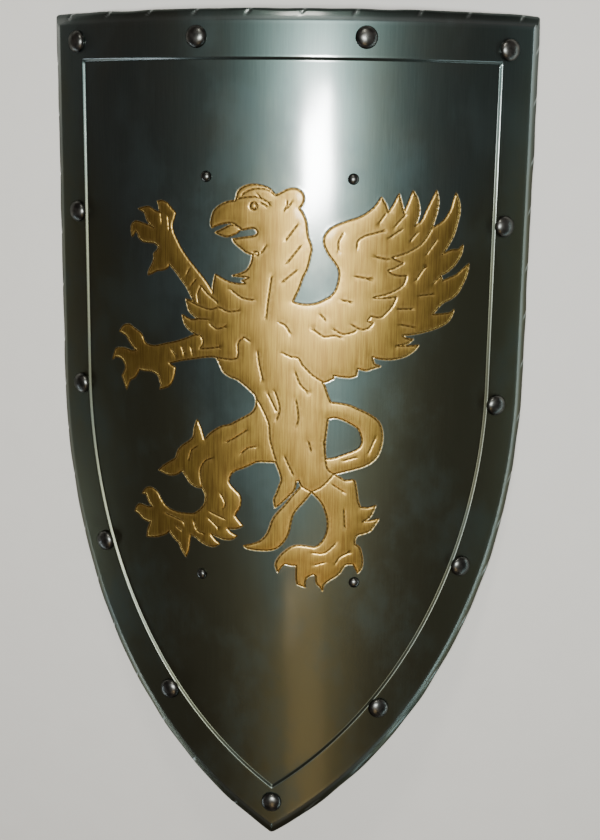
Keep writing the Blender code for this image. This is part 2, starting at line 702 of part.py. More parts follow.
def make_strap(name, middle, y, half_spacing, parts, lift, finish):
    """A leather strap cut flat with its two holes, then bowed behind the sheet between its rivets."""
    half_length = half_spacing + STRAP_END_PAST_RIVET
    hole = STRAP_RIVET_SHANK_DIAMETER / 2 + HOLE_CLEARANCE
    holes = [circle(side * half_spacing, 0, hole) for side in (-1, 1)]
    half = STRAP_THICKNESS / 2
    strap = prism(name, strap_outline(half_length), holes, -half, half, parts)
    shape = bmesh.new()
    shape.from_mesh(strap.data)
    for step in range(1, STRAP_STEPS):
        place = half_length * (2 * step / STRAP_STEPS - 1)
        everything = [*shape.verts, *shape.edges, *shape.faces]
        bmesh.ops.bisect_plane(
            shape, geom=everything, dist=1e-6, plane_co=(place, 0, 0), plane_no=(1, 0, 0)
        )
    bmesh.ops.triangulate(shape, faces=[face for face in shape.faces if len(face.verts) > 4])
    reach = half_length / STRAP_STEPS / 4
    for vert in shape.verts:
        across, width, height = vert.co
        place = strap_path(across, half_spacing)
        run = strap_path(across + reach, half_spacing) - strap_path(across - reach, half_spacing)
        normal = Vector((-run.z, 0, run.x)).normalized()
        vert.co = place + normal * height + Vector((0, width, 0))
    shape.to_mesh(strap.data)
    shape.free()
    strap.data.materials.append(finish)
    strap.data.shade_smooth()
    strap.data.set_sharp_from_angle(angle=math.radians(40))
    lean = Matrix.Rotation(middle / BEND_RADIUS, 4, "Y")
    pivot = Matrix.Translation((0, 0, -BEND_RADIUS))
    strap.matrix_world = Matrix.Translation((0, y, 0)) @ pivot @ lean @ pivot.inverted()
    strap.parent = lift
    return strap


def main():
    for thing in list(bpy.data.objects):
        bpy.data.objects.remove(thing)
    parts = new_collection("heater_shield")
    cutters = new_collection("cutters")

    steel = material("blackened_steel", (0.13, 0.14, 0.14), 1.0, 0.33)
    brass = material("brass_coating", (0.55, 0.38, 0.15), 1.0, 0.45)
    rivet_steel = material("polished_rivet_steel", (0.20, 0.20, 0.19), 1.0, 0.22)
    leather = material("brown_leather", (0.13, 0.06, 0.03), 0.0, 0.62)

    lowest = min(bent(HALF_WIDTH - inset, 0, height).z for inset, height in sheet_section())
    lift = bpy.data.objects.new("shield_rest", None)
    lift.location = (0, 0, -lowest)
    parts.objects.link(lift)

    make_sheet(parts, cutters, lift, steel, brass)
    make_border_rivets(parts, lift, rivet_steel)
    make_strap_rivets(parts, lift, rivet_steel)
    for name, middle, y, half_spacing in strap_settings():
        make_strap(name, middle, y, half_spacing, parts, lift, leather)


main()
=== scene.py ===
import math
import random

import bmesh
import bpy
import numpy as np
from mathutils import Matrix, Vector
from mathutils.geometry import delaunay_2d_cdt
from mathutils.kdtree import KDTree


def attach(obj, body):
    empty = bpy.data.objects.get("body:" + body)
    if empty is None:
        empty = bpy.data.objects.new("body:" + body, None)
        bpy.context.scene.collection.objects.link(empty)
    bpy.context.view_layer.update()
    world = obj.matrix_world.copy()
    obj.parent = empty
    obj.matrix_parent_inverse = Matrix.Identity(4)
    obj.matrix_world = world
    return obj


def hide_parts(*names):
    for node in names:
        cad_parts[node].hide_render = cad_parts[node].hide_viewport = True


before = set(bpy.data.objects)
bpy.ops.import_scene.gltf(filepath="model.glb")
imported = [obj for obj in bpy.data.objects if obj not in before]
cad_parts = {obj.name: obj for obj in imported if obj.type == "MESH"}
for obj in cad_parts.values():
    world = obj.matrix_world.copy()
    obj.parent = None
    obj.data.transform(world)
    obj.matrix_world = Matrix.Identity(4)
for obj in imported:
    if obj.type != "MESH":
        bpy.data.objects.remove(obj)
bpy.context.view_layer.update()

# The sheet's sizes, in metres, as the solids have them. Places across are measured round the bend.
SHIELD_HEIGHT = 0.717
SHIELD_WIDTH = 0.443
STRAIGHT_SIDE = 0.306
BEND_RADIUS = 0.347
SHEET_THICKNESS = 0.0012
BORDER_WIDTH = 0.041
BORDER_RISE = 0.0018
STEP_RUN = 0.0032
TURN_DOWN_WIDTH = 0.0098
TURN_DOWN_DEPTH = 0.0018
ROLL_DIAMETER = 0.0085
ROLL_SWEEP = math.radians(308)
GRIFFIN_BELOW_CENTRE = 0.0015
MILLIMETRE = 0.001

# How high the middle of the sheet lies above the floor, at the crown of its bend.
CROWN_HEIGHT = 0.0728

HALF_WIDTH = SHIELD_WIDTH / 2
TOP_Y = SHIELD_HEIGHT / 2
ARC_START_Y = TOP_Y - STRAIGHT_SIDE
SIDE_ARC_RADIUS = ((SHIELD_HEIGHT - STRAIGHT_SIDE) ** 2 + HALF_WIDTH**2) / SHIELD_WIDTH
ARC_CENTRE_X = HALF_WIDTH - SIDE_ARC_RADIUS
HALF_SHEET = SHEET_THICKNESS / 2
ROLL_RADIUS = ROLL_DIAMETER / 2
ROLL_CENTRE_Z = BORDER_RISE + HALF_SHEET - TURN_DOWN_DEPTH - ROLL_RADIUS
BEND_AXIS_Z = CROWN_HEIGHT - BEND_RADIUS

# The griffin's outline, clockwise from the tip of the beak, in millimetres on the flat sheet.
HEAD_LINE = [
    (-56, 186), (-57, 190), (-55, 198), (-52, 202), (-47, 205.5), (-42, 207.5), (-36, 208.5), (-35, 211),
    (-34, 215), (-31, 218.5), (-26, 221), (-20, 221.8), (-14, 221), (-8, 219), (-2, 213.5), (2, 215.5),
    (8, 218.5), (14, 219), (19, 216.5), (21, 212), (20, 207), (17, 203.5), (20, 200), (23, 193), (24, 186),
    (25, 180), (27, 175), (28, 170), (27, 165), (26, 160), (24, 153), (21, 147), (18, 138), (13, 127),
]
HOLLOW_LINE = [
    (18, 125.5), (25, 125), (32, 126), (38, 128.5), (44, 132), (48, 137), (50, 143), (51, 150), (50, 155),
    (47, 160), (43, 165), (40, 170), (38, 175), (38, 180), (40, 184), (44, 188), (50, 191), (58, 194),
    (67, 197), (75, 202), (80, 207),
]
WING_TIPS_LINE = [
    (84, 213), (88, 207), (90, 201), (94, 207), (98.5, 216), (101, 208), (103, 201), (106, 208),
    (110, 218.5), (114, 212), (116, 203), (115, 197), (112.5, 190), (118, 194.5), (122, 203), (126, 211),
    (130, 219), (132, 210), (131, 202), (129, 195), (127, 188), (130, 190), (135, 193), (139, 197),
    (143, 204), (145, 211), (147, 217), (150, 210), (151, 202), (149, 192), (146, 182), (141, 173),
    (137, 167), (145, 170.5), (151, 171), (155, 174.5), (154, 168), (151, 162), (147, 157), (141, 152),
    (136, 150), (138, 145), (144, 147.5), (150, 150), (155, 154), (161, 159), (160, 152), (157, 144),
    (152, 135), (146, 130), (138, 126), (130, 117), (139, 117.5), (146, 118.5), (149, 121), (147, 115),
    (143, 110), (135, 106), (125, 103), (115, 101), (105, 100), (108, 97.5), (114, 96.5), (109, 93),
    (100, 91.5), (110, 91), (119, 91.5), (115, 87), (108, 82.5), (98, 80), (88, 80), (80, 82), (82, 76),
    (87, 74), (80, 72), (75, 70.5), (68, 72), (67, 66), (62, 64.5), (54, 65), (48, 66), (48, 63.5),
    (42, 60.5),
]
BACK_AND_TAIL_LINE = [
    (39, 60), (41, 56), (43, 50), (46, 43), (60, 41), (70, 37), (80, 32), (87, 26), (90, 18), (90, 8),
    (87, -2), (82, -8), (75, -12), (65, -15), (50, -19),
]
STANDING_LEG_LINE = [
    (55, -22), (60, -24.5), (66, -24), (68, -26), (69, -31), (70, -37), (71, -43), (73, -48), (80, -48.5),
    (86, -46.5), (83, -54), (80, -58), (76, -60), (82, -60), (89, -58.5), (85, -65), (82, -69), (76, -71.5),
    (71, -73), (69, -77), (69, -81), (73, -84), (75, -90), (76, -97), (75, -103), (72, -107), (70, -103),
    (68, -99), (63, -99), (60, -101), (57, -106), (53, -110), (47, -114), (43, -118), (42, -123.5),
    (40, -120), (37, -117), (36, -113), (36, -110), (34, -108.5), (29, -111), (27, -115), (27, -120.5),
    (20, -118), (19, -113), (19, -101), (14, -101), (9, -100), (6, -103), (3, -108), (1, -102), (2, -98),
    (5, -93), (9, -89), (14, -85), (20, -83), (28, -83.5), (35, -84), (40, -80), (43, -75), (45, -68),
    (45, -60), (43, -52), (40, -45), (35, -39), (31, -35),
]
TAIL_BRUSH_LINE = [
    (26, -42), (20, -49), (16, -55), (14, -62), (12, -72), (8, -80), (2, -86), (-5, -88.5), (-15, -89),
    (-24, -88), (-27, -86), (-20, -84), (-13, -81), (-8, -76), (-5, -70), (-2, -61), (2, -55), (8, -48),
    (14, -40), (20, -33), (22, -30),
]
CROTCH_LINE = [
    (20, -25), (18, -26), (17, -32), (15, -36), (10, -41), (4, -47), (0, -50), (-1, -43), (1, -38), (3, -32),
    (5, -26), (4, -20), (0, -10),
]
RAISED_LEG_LINE = [
    (-8, -10), (-16, -10.5), (-22, -13.5), (-29, -17), (-34, -19), (-38, -22), (-40, -26), (-40.5, -30),
    (-39, -33), (-35, -37), (-31, -41), (-30, -46), (-31, -52), (-34, -57), (-35, -60), (-31, -65),
    (-28, -68), (-34, -71), (-42, -71.5), (-40, -74), (-36, -76.5), (-33, -77.5), (-38, -81), (-45, -81.5),
    (-50, -80), (-57, -78), (-55, -81), (-52, -84), (-49, -86), (-54, -89), (-60, -88.5), (-66, -86),
    (-72, -82), (-76, -81), (-77, -88), (-78, -95), (-80.5, -101.5), (-85, -95), (-87, -90), (-91, -87),
    (-97, -80), (-100, -83), (-104, -85), (-109, -87), (-115, -88), (-120, -88.5), (-119, -82), (-117, -77),
    (-116, -74.5), (-120, -74), (-125, -72), (-128, -69), (-132.5, -67), (-131, -63), (-128, -60),
    (-124, -60), (-118, -61), (-114, -60), (-117, -57), (-119, -53), (-120, -49.5), (-124.5, -49.5),
    (-122, -46), (-119, -43.5), (-114, -43), (-108, -47), (-105, -52), (-101, -57), (-96, -60), (-88, -62),
    (-78, -62), (-72, -61), (-67, -57), (-63, -52), (-62, -48), (-62, -43), (-65, -37), (-70, -37),
    (-76, -34), (-80, -29), (-84, -24), (-90, -28), (-97, -29), (-107, -26), (-100, -20), (-94, -16),
    (-90, -13), (-88, -7), (-84, -2), (-80, 1), (-76, 4), (-73, 8), (-72, 15), (-69.5, 22.5), (-66, 15),
    (-63, 5.5), (-58, 11), (-53, 15), (-47, 18.5), (-40, 20.5), (-32, 25), (-22, 31),
]
BELLY_LINE = [
    (-18, 36), (-17, 42), (-18, 47), (-22, 51), (-28, 56), (-34, 60), (-40, 62), (-46, 66), (-50, 74),
    (-52, 77.5),
]
LOWER_FORELEG_LINE = [
    (-56, 78), (-64, 77), (-74, 75), (-84, 73), (-96, 69.5), (-90, 66), (-91, 60), (-93, 54), (-96, 50),
    (-100, 48), (-105, 46.5), (-104, 50), (-105, 53), (-107, 58), (-113, 61), (-120, 61), (-126, 61.5),
    (-128, 58), (-131, 54), (-136, 51), (-138, 47), (-140, 42.5), (-145, 54), (-143, 57), (-141, 62),
    (-143, 67), (-147, 70), (-152, 70), (-155.5, 67.5), (-153, 74), (-151, 77.5), (-146, 78.5), (-140, 78.5),
    (-134, 77), (-129, 78), (-133, 81), (-137, 86), (-140, 90), (-147, 93), (-144, 97), (-140, 99.5),
    (-135, 99.5), (-131, 97), (-127, 95), (-123, 92), (-119, 85), (-110, 83.5), (-100, 86), (-90, 88.5),
    (-80, 92), (-72, 95.5), (-66, 95),
]
CHEST_TUFTS_LINE = [
    (-72, 97), (-78, 101), (-81, 105), (-83, 112), (-75, 108.5), (-69, 109.5), (-76, 115), (-78, 120),
    (-79.5, 125.5),
]
UPPER_FORELEG_LINE = [
    (-72, 124), (-75, 129), (-79, 136), (-84, 142), (-89, 148), (-95, 154), (-97, 151), (-101, 149),
    (-107, 148), (-112, 145.5), (-116, 144), (-115, 148), (-112, 153), (-110, 158), (-110, 162), (-107, 165),
    (-105, 168), (-109, 171), (-115, 171.5), (-121, 172), (-125, 175), (-126, 178), (-128, 180.5),
    (-130, 178), (-132, 175.5), (-133, 183), (-131, 187), (-128, 188.5), (-124, 188), (-116, 186),
    (-110, 184), (-114, 187), (-117, 191), (-119, 196), (-125, 199), (-120, 200.5), (-114, 201),
    (-108, 197.8), (-104, 197), (-104.5, 202), (-106, 206), (-102, 206.5), (-97, 205), (-94, 202),
    (-89, 197), (-90, 193), (-92, 187), (-91, 181), (-88, 175), (-84, 168), (-78, 160), (-70, 151),
    (-62, 142),
]
BREAST_AND_JAW_LINE = [
    (-55, 132), (-55, 138), (-53, 147.5), (-42, 142), (-33, 140.5), (-27, 141), (-30, 143), (-24, 146),
    (-38, 147), (-30, 149.5), (-25, 153), (-22, 159), (-21, 165), (-26, 166.5), (-31, 170), (-36, 174),
    (-38, 177), (-30, 178.5), (-19, 180.5), (-17, 184), (-20, 186.5), (-25, 186), (-30, 185), (-32, 186.5),
    (-38, 190), (-44, 190), (-50, 188.5),
]
TAIL_EYE = [
    (44, 29), (50, 30), (57, 28), (63, 25), (69, 21), (72, 15), (73, 9), (71, 4), (66, 1), (58, -2),
    (50, -5), (43, -6), (42, 0), (42, 10), (43, 20),
]
TONGUE = [
    (-53, 182), (-45, 186), (-40, 188.5), (-35, 188), (-31, 185.5), (-34, 182.5), (-38, 180.5), (-43, 179),
    (-48, 180),
]
OUTLINE = [
    *HEAD_LINE, *HOLLOW_LINE, *WING_TIPS_LINE, *BACK_AND_TAIL_LINE, *STANDING_LEG_LINE, *TAIL_BRUSH_LINE,
    *CROTCH_LINE, *RAISED_LEG_LINE, *BELLY_LINE, *LOWER_FORELEG_LINE, *CHEST_TUFTS_LINE,
    *UPPER_FORELEG_LINE, *BREAST_AND_JAW_LINE,
]
WING_STROKES = [
    [(127, 188), (123, 181), (118, 175), (110, 170), (103, 167), (94, 164.5), (99, 162), (104, 160),
     (97, 156), (91, 154), (95, 151), (101, 149.5), (107, 149.5), (105, 143), (100, 138.5), (90, 134),
     (79, 131.5), (90, 131), (99, 132), (96, 125), (91, 119), (86, 115), (78, 116), (75, 112),
     (80, 110.5), (76, 106), (70, 105), (62, 109)],
    [(66, 104), (62, 102), (55, 101), (48, 104.5)],
    [(54, 98), (48, 99.5), (40, 98.5), (35, 101), (31, 104)], [(50, 170), (50, 177), (53, 183)],
    [(65, 172), (66, 178), (72, 182), (79, 184), (86, 186)], [(83, 193), (88, 200)],
    [(96, 190), (104, 199)], [(92, 181), (101, 187)], [(109, 178), (114, 184)], [(123, 167), (131, 178)],
    [(115, 146), (121, 155)], [(130, 143), (136, 149)], [(101, 122), (112, 122)], [(118, 133), (128, 134)],
    [(103, 109), (113, 107)], [(81, 165), (90, 163)], [(64, 149), (75, 147)], [(36, 117), (40, 113)],
    [(54, 129), (60, 128)],
]
BREAST_STROKES = [
    [(-68, 123), (-69, 130), (-66, 137.5), (-60, 131), (-52, 125)],
    [(-79.5, 125.5), (-74, 123), (-68, 120.5), (-58, 118), (-50, 120), (-42, 117), (-33, 118)],
    [(-69, 109.5), (-60, 109.5)], [(-58, 106), (-52, 102), (-45, 104)],
    [(-39, 135), (-30, 129), (-21, 127.5)], [(-5, 147), (-8, 125), (-9, 114)],
    [(2, 109.5), (7, 107), (11, 101)], [(16, 190), (7, 178)], [(19, 173), (8, 159)], [(16, 153), (5, 144)],
    [(-23, 93), (-28, 96), (-33, 91), (-33, 82), (-34, 78), (-40, 76.5), (-52, 77.5)],
    [(-16, 84), (-15, 75), (-12, 62)], [(-66, 95), (-64, 90), (-67, 84), (-58, 85), (-50, 86.5)],
]
FLANK_STROKES = [
    [(6, 83.5), (12, 81), (18, 80), (22, 74), (26, 70), (30, 66), (38, 61)],
    [(-1, 51), (2, 42), (3, 35), (1, 28)], [(-7, 49), (0, 35)], [(17, 44), (19, 30), (18, 23)],
    [(16, 68), (20, 58), (26, 52)], [(-17, 44), (-13, 38), (-9, 30), (-6, 22), (-5, 10), (-3, 2), (0, -8)],
    [(-43, 5), (-36, 9), (-26, 16)], [(-30, -4), (-24, 1), (-18, 2.5)], [(-70, -1), (-75, -5), (-77, -12)],
    [(-56, -10), (-62, -13), (-66, -19), (-67, -26), (-65, -37)], [(-48, -41), (-44, -49), (-45, -53)],
    [(-58, -58), (-45, -63)], [(-59, -64), (-51, -71)], [(-73, -68), (-70, -76), (-65, -78)],
    [(-101, -64), (-85, -69), (-82, -72)], [(-90, -75), (-85, -78)], [(8, -5), (11, -12), (15, -20)],
    [(28, 9), (30, 2)], [(84, 12), (79, 0)], [(58, -7), (67, -4.5)], [(49, -28), (58, -34)],
    [(59, -50), (60, -65)], [(33, -89), (43, -89), (52, -81)], [(35, -100), (43, -97.5)],
    [(53, -98), (56, -93), (63, -89)], [(41, 10), (42, 0), (44, -14), (50, -19)],
    [(20, -25), (22, -30), (31, -35), (40, -30), (50, -19)],
]
FORELEG_STROKES = [
    [(-84, 85), (-82, 80)], [(-75, 85), (-74, 80)], [(-94, 82), (-91, 78)], [(-79, 146), (-77, 150)],
    [(-75, 137), (-71, 142)], [(-96, 194), (-95, 184)], [(-103, 197), (-102, 189)],
]
HEAD_STROKES = [
    [(-34, 210), (-29.5, 211), (-23, 211.7), (-17.5, 211.7), (-13, 210.2), (-8, 207.4)],
    [(-15, 207.2), (-12.7, 206.4), (-10, 204.8)],
    [(-30.5, 213), (-27.3, 215.6), (-21.3, 218), (-14, 218.6), (-7.5, 217.2), (-3.2, 213.8)],
    [(-17.5, 214), (-14.5, 211.2)], [(7.1, 209), (7.5, 206.2), (5.9, 203)],
    [(11.1, 208.7), (9.5, 206), (7.3, 203.7)], [(-10.5, 171.6), (-11.6, 169.3), (-13.6, 166.9)],
    [(-20.7, 166.9), (-18, 167.5), (-16.1, 166.4), (-16.3, 164.6), (-18.3, 164.5)],
]
STROKES = [*HEAD_STROKES, *WING_STROKES, *BREAST_STROKES, *FLANK_STROKES, *FORELEG_STROKES]
EYE_CENTRE = np.array([-0.0205, 0.2045 - GRIFFIN_BELOW_CENTRE])
EYE_RADIUS = 0.0030
EYE_SIDES = 40
OUTLINE_BOX = (np.min(OUTLINE, axis=0) * MILLIMETRE, np.max(OUTLINE, axis=0) * MILLIMETRE)

# How closely the sheet is meshed, in metres, and how many stations the cuts and corners have.
RELIEF_SPACING = 0.0003
NEAR_LINE_SPACING = 0.0008
LINE_SPACING = 0.0010
LINE_CELL = 0.00042
LINE_CLEARANCE = 0.0026
LINE_OFFSETS = (0.0, 0.00045, 0.00090, 0.0017)
GRIFFIN_SPACING = 0.0030
GRIFFIN_MARGIN = 0.012
FIELD_SPACING = 0.0080
BACK_SPACING = 0.0120
EDGE_SPACING = 0.0042
NICK_SPACING = 0.0011
NICK_STATIONS = 5
CORNER_STATIONS = 6
ROW_SHARE = 0.87
CORNER_ROUNDING = 0.0030
TIP_ROUNDING = 0.0040

# Relief of the griffin, in metres.
CHISEL_HALF_WIDTH = 0.00072
CHISEL_DEPTH = 0.00036
CHISEL_LENGTH = 0.0043
LIP_REACH = 0.0005
LIP_RISE = 0.00004
RIM_RISE = 0.00014
LINE_SWELL, LINE_SWELL_REACH = 0.00028, 0.0035
EDGE_SWELL, EDGE_SWELL_REACH = 0.00040, 0.0120
EYE_RISE = 0.0006
PLANISH_RISE = 0.00006
PLANISH_FADE = 0.02
SHARP_TURN = math.radians(52)

# Cuts across the curled edge, and how far it strays from its line, in metres.
NICK_TURN = math.radians(50)
NICK_HALF_WIDTH = 0.0013
NICK_DEPTH = 0.0006
NICK_FADE = (0.015, 0.009)
WAVER = 0.00022


def smooth_step(value, low, high):
    share = np.clip((value - low) / (high - low), 0.0, 1.0)
    return share * share * (3 - 2 * share)


def turn_at(before, here, after):
    first = math.atan2(here[1] - before[1], here[0] - before[0])
    second = math.atan2(after[1] - here[1], after[0] - here[0])
    return abs((second - first + math.pi) % (2 * math.pi) - math.pi)


def curve_through(points, closed, spacing):
    """A smooth curve through the drawing's points, in metres, with a corner where it turns sharply."""
    count = len(points)
    spans = count if closed else count - 1

    def point(index):
        return points[index % count] if closed else points[min(max(index, 0), count - 1)]

    def sharp(index):
        at_end = not closed and index % count in (0, count - 1)
        return at_end or turn_at(point(index - 1), point(index), point(index + 1)) > SHARP_TURN

    curve = []
    for index in range(spans):
        before, start, end, after = (np.array(point(index + step), float) for step in (-1, 0, 1, 2))
        before = start if sharp(index) else before
        after = end if sharp(index + 1) else after
        steps = max(1, round(math.dist(start, end) * MILLIMETRE / spacing))
        for step in range(steps):
            t = step / steps
            curve.append(
                0.5
                * (
                    2 * start
                    + (end - before) * t
                    + (2 * before - 5 * start + 4 * end - after) * t**2
                    + (3 * start - before - 3 * end + after) * t**3
                )
            )
    if not closed:
        curve.append(np.array(points[-1], float))
    return np.array(curve) * MILLIMETRE - (0, GRIFFIN_BELOW_CENTRE)


def directions(curve, closed):
    if closed:
        along = np.roll(curve, -1, 0) - np.roll(curve, 1, 0)
    else:
        along = np.gradient(curve, axis=0)
    return along / np.maximum(np.linalg.norm(along, axis=1, keepdims=True), 1e-9)


def inside_loop(places, loop):
    """Which places lie inside a closed loop, by counting the edges that each one's level line crosses."""
    x, y = places[:, 0:1], places[:, 1:2]
    start, end = loop, np.roll(loop, -1, 0)
    spans = (start[:, 1] > y) != (end[:, 1] > y)
    rise = np.where(end[:, 1] == start[:, 1], 1.0, end[:, 1] - start[:, 1])
    crossing = (end[:, 0] - start[:, 0]) * (y - start[:, 1]) / rise + start[:, 0]
    return (spans & (x < crossing)).sum(1) % 2 == 1


class Lines:
    """Chased lines as close samples: it finds how far each place is from them, and how far along."""

    def __init__(self, curves):
        self.points = np.concatenate([curve for curve, closed in curves])
        self.along = np.concatenate([directions(curve, closed) for curve, closed in curves])
        self.travel = np.concatenate([self.lengths(curve) for curve, closed in curves])
        self.tree = KDTree(len(self.points))
        for index, (x, y) in enumerate(self.points):
            self.tree.insert((x, y, 0), index)
        self.tree.balance()

    @staticmethod
    def lengths(curve):
        steps = np.linalg.norm(np.diff(curve, axis=0), axis=1)
        return np.concatenate([[0.0], np.cumsum(steps)])

    def measure(self, places):
        nearest = np.array([self.tree.find((x, y, 0))[1] for x, y in places])
        gap = places - self.points[nearest]
        beside = (gap * self.along[nearest]).sum(1)
        return np.linalg.norm(gap, axis=1), self.travel[nearest] + beside


def drawing_curves(spacing):
    """The griffin's outlines, its eye and its inner lines, each as (curve, whether it is closed)."""
    curves = [(curve_through(loop, True, spacing), True) for loop in (OUTLINE, TAIL_EYE, TONGUE)]
    curves.append((EYE_CENTRE + EYE_RADIUS * circle(EYE_SIDES), True))
    return curves + [(curve_through(stroke, False, spacing), False) for stroke in STROKES]


def circle(sides):
    turns = np.arange(sides) * 2 * math.pi / sides
    return np.stack([np.cos(turns), np.sin(turns)], 1)


class Relief:
    """The front of the field: its height above the sheet's middle, and how it is finished."""

    def __init__(self):
        curves = drawing_curves(RELIEF_SPACING)
        self.outline, self.tail_eye, self.tongue = (curve for curve, closed in curves[:3])
        self.edges = Lines(curves[:3])
        self.chased = Lines(curves)

    def griffin(self, places):
        body = inside_loop(places, self.outline[::3]) & ~inside_loop(places, self.tail_eye[::3])
        return body | inside_loop(places, self.tongue[::3])

    def shape(self, places):
        """(height, brass, groove, which is also painted shade, painted highlight on the burrs) of each flat
        place.
        """
        edge_gap, _ = self.edges.measure(places)
        line_gap, travel = self.chased.measure(places)
        within = self.griffin(places)
        depth_in = np.where(within, edge_gap, -edge_gap)
        phase = travel / CHISEL_LENGTH % 1.0
        cut = 1 - 0.8 * np.abs(2 * phase - 1) ** 3.5
        groove = np.clip(1 - (line_gap / CHISEL_HALF_WIDTH) ** 2, 0, 1) ** 1.5 * cut
        lip = np.exp(-(((line_gap - 1.5 * CHISEL_HALF_WIDTH) / LIP_REACH) ** 2)) * cut
        body = smooth_step(depth_in, -0.0005, 0.0012) * RIM_RISE
        body += within * LINE_SWELL * (1 - np.exp(-line_gap / LINE_SWELL_REACH))
        body += within * EDGE_SWELL * (1 - np.exp(-edge_gap / EDGE_SWELL_REACH))
        eye_gap = np.linalg.norm(places - EYE_CENTRE, axis=1)
        body += EYE_RISE * np.clip(1 - (eye_gap / EYE_RADIUS) ** 2, 0, 1)
        height = HALF_SHEET + body - CHISEL_DEPTH * groove + LIP_RISE * lip + planish(places)
        brass = smooth_step(depth_in, -0.0010, -0.0005)
        # The groove mask paints shade into the chased lines, and the burr beside each line is painted bright
        # as a painted highlight.
        return height, brass, groove**1.2, lip * brass


def planish(places):
    """The slight unevenness that hand work leaves in a bent sheet. It fades out towards the border."""
    x, y = places[:, 0], places[:, 1]
    waves = np.sin(x / 0.0190 + 1.3 + np.sin(y / 0.041)) * np.sin(y / 0.0310 + 0.4 + np.sin(x / 0.033))
    waves += 0.6 * np.sin(x / 0.0087 + y / 0.0290 + 2.1) * np.sin(y / 0.0170 - x / 0.0260)
    return PLANISH_RISE * waves * smooth_step(edge_inset(places), BORDER_WIDTH, BORDER_WIDTH + PLANISH_FADE)


def edge_inset(places):
    """How far each flat place lies in from the shield's edge."""
    x, y = np.abs(places[:, 0]), places[:, 1]
    from_arc = SIDE_ARC_RADIUS - np.hypot(x - ARC_CENTRE_X, y - ARC_START_Y)
    return np.minimum(np.where(y >= ARC_START_Y, HALF_WIDTH - x, from_arc), TOP_Y - y)


class Edge:
    """The shield's edge as a track: clockwise from the middle of the top, and inwards from each place."""

    def __init__(self):
        sweep = math.acos(-ARC_CENTRE_X / (SIDE_ARC_RADIUS - TIP_ROUNDING))
        self.runs = [
            ("top", HALF_WIDTH - CORNER_ROUNDING),
            ("corner", CORNER_ROUNDING * math.pi / 2),
            ("side", STRAIGHT_SIDE - CORNER_ROUNDING),
            ("arc", SIDE_ARC_RADIUS * sweep),
            ("tip", TIP_ROUNDING * (math.pi / 2 - sweep)),
        ]
        self.half_length = sum(length for name, length in self.runs)

    def place(self, travel, inset):
        """The flat place this far along the right half from the middle of the top, and this far in."""
        for name, length in self.runs:
            if travel <= length or name == "tip":
                share = min(travel / length, 1.0)
                return getattr(self, name)(share, inset)
            travel -= length

    def top(self, share, inset):
        end = HALF_WIDTH - max(CORNER_ROUNDING, inset)
        return share * end, TOP_Y - inset

    def corner(self, share, inset):
        reach = max(CORNER_ROUNDING, inset)
        radius = reach - inset
        turn = math.pi / 2 * (1 - share)
        return HALF_WIDTH - reach + radius * math.cos(turn), TOP_Y - reach + radius * math.sin(turn)

    def side(self, share, inset):
        start = TOP_Y - max(CORNER_ROUNDING, inset)
        return HALF_WIDTH - inset, start + (ARC_START_Y - start) * share

    def arc(self, share, inset):
        radius = SIDE_ARC_RADIUS - inset
        sweep = math.acos(-ARC_CENTRE_X / (SIDE_ARC_RADIUS - max(TIP_ROUNDING, inset)))
        turn = sweep * share
        return ARC_CENTRE_X + radius * math.cos(turn), ARC_START_Y - radius * math.sin(turn)

    def tip(self, share, inset):
        reach = max(TIP_ROUNDING, inset)
        base = SIDE_ARC_RADIUS - reach
        centre_y = ARC_START_Y - math.sqrt(base**2 - ARC_CENTRE_X**2)
        sweep = math.acos(-ARC_CENTRE_X / base)
        turn = sweep + (math.pi / 2 - sweep) * share
        return (reach - inset) * math.cos(turn), centre_y - (reach - inset) * math.sin(turn)

    def signed_place(self, travel, inset):
        """As place, with the left half at negative distances."""
        x, y = self.place(abs(travel), inset)
        return (x, y) if travel >= 0 else (-x, y)


def nick_travels(edge):
    """How far along the edge each cut lies, by hand and so a little uneven."""
    spread = random.Random(7)
    travels = []
    for side in (1, -1):
        travel = spread.uniform(0.010, 0.030)
        while travel < edge.half_length - 0.020:
            travels.append(side * travel)
            travel += spread.uniform(0.040, 0.058)
    return travels


def station_travels(edge, nicks):
    """Stations all round the edge, close together at the cuts and the corners."""
    marks = set()
    steps = round(edge.half_length / EDGE_SPACING)
    for step in range(steps + 1):
        marks.add(round(edge.half_length * step / steps, 6))
    corner_start = edge.runs[0][1]
    for step in range(CORNER_STATIONS + 1):
        marks.add(round(corner_start + edge.runs[1][1] * step / CORNER_STATIONS, 6))
        marks.add(round(edge.half_length - edge.runs[4][1] * step / CORNER_STATIONS, 6))
    travels = sorted(marks)
    travels = [-travel for travel in reversed(travels[1:-1])] + travels
    dense = []
    for nick in nicks:
        dense += [nick + step * NICK_SPACING for step in range(-NICK_STATIONS, NICK_STATIONS + 1)]
    limit = edge.half_length - edge.runs[4][1]
    dense = [travel for travel in dense if abs(travel) < limit]
    merged = []
    for travel, fixed in sorted([(t, True) for t in travels] + [(t, False) for t in dense]):
        if merged and travel - merged[-1][0] < NICK_SPACING * 0.5:
            if fixed and not merged[-1][1]:
                merged[-1] = (travel, fixed)
            elif fixed:
                merged.append((travel, fixed))
            continue
        merged.append((travel, fixed))
    return [travel for travel, fixed in merged]
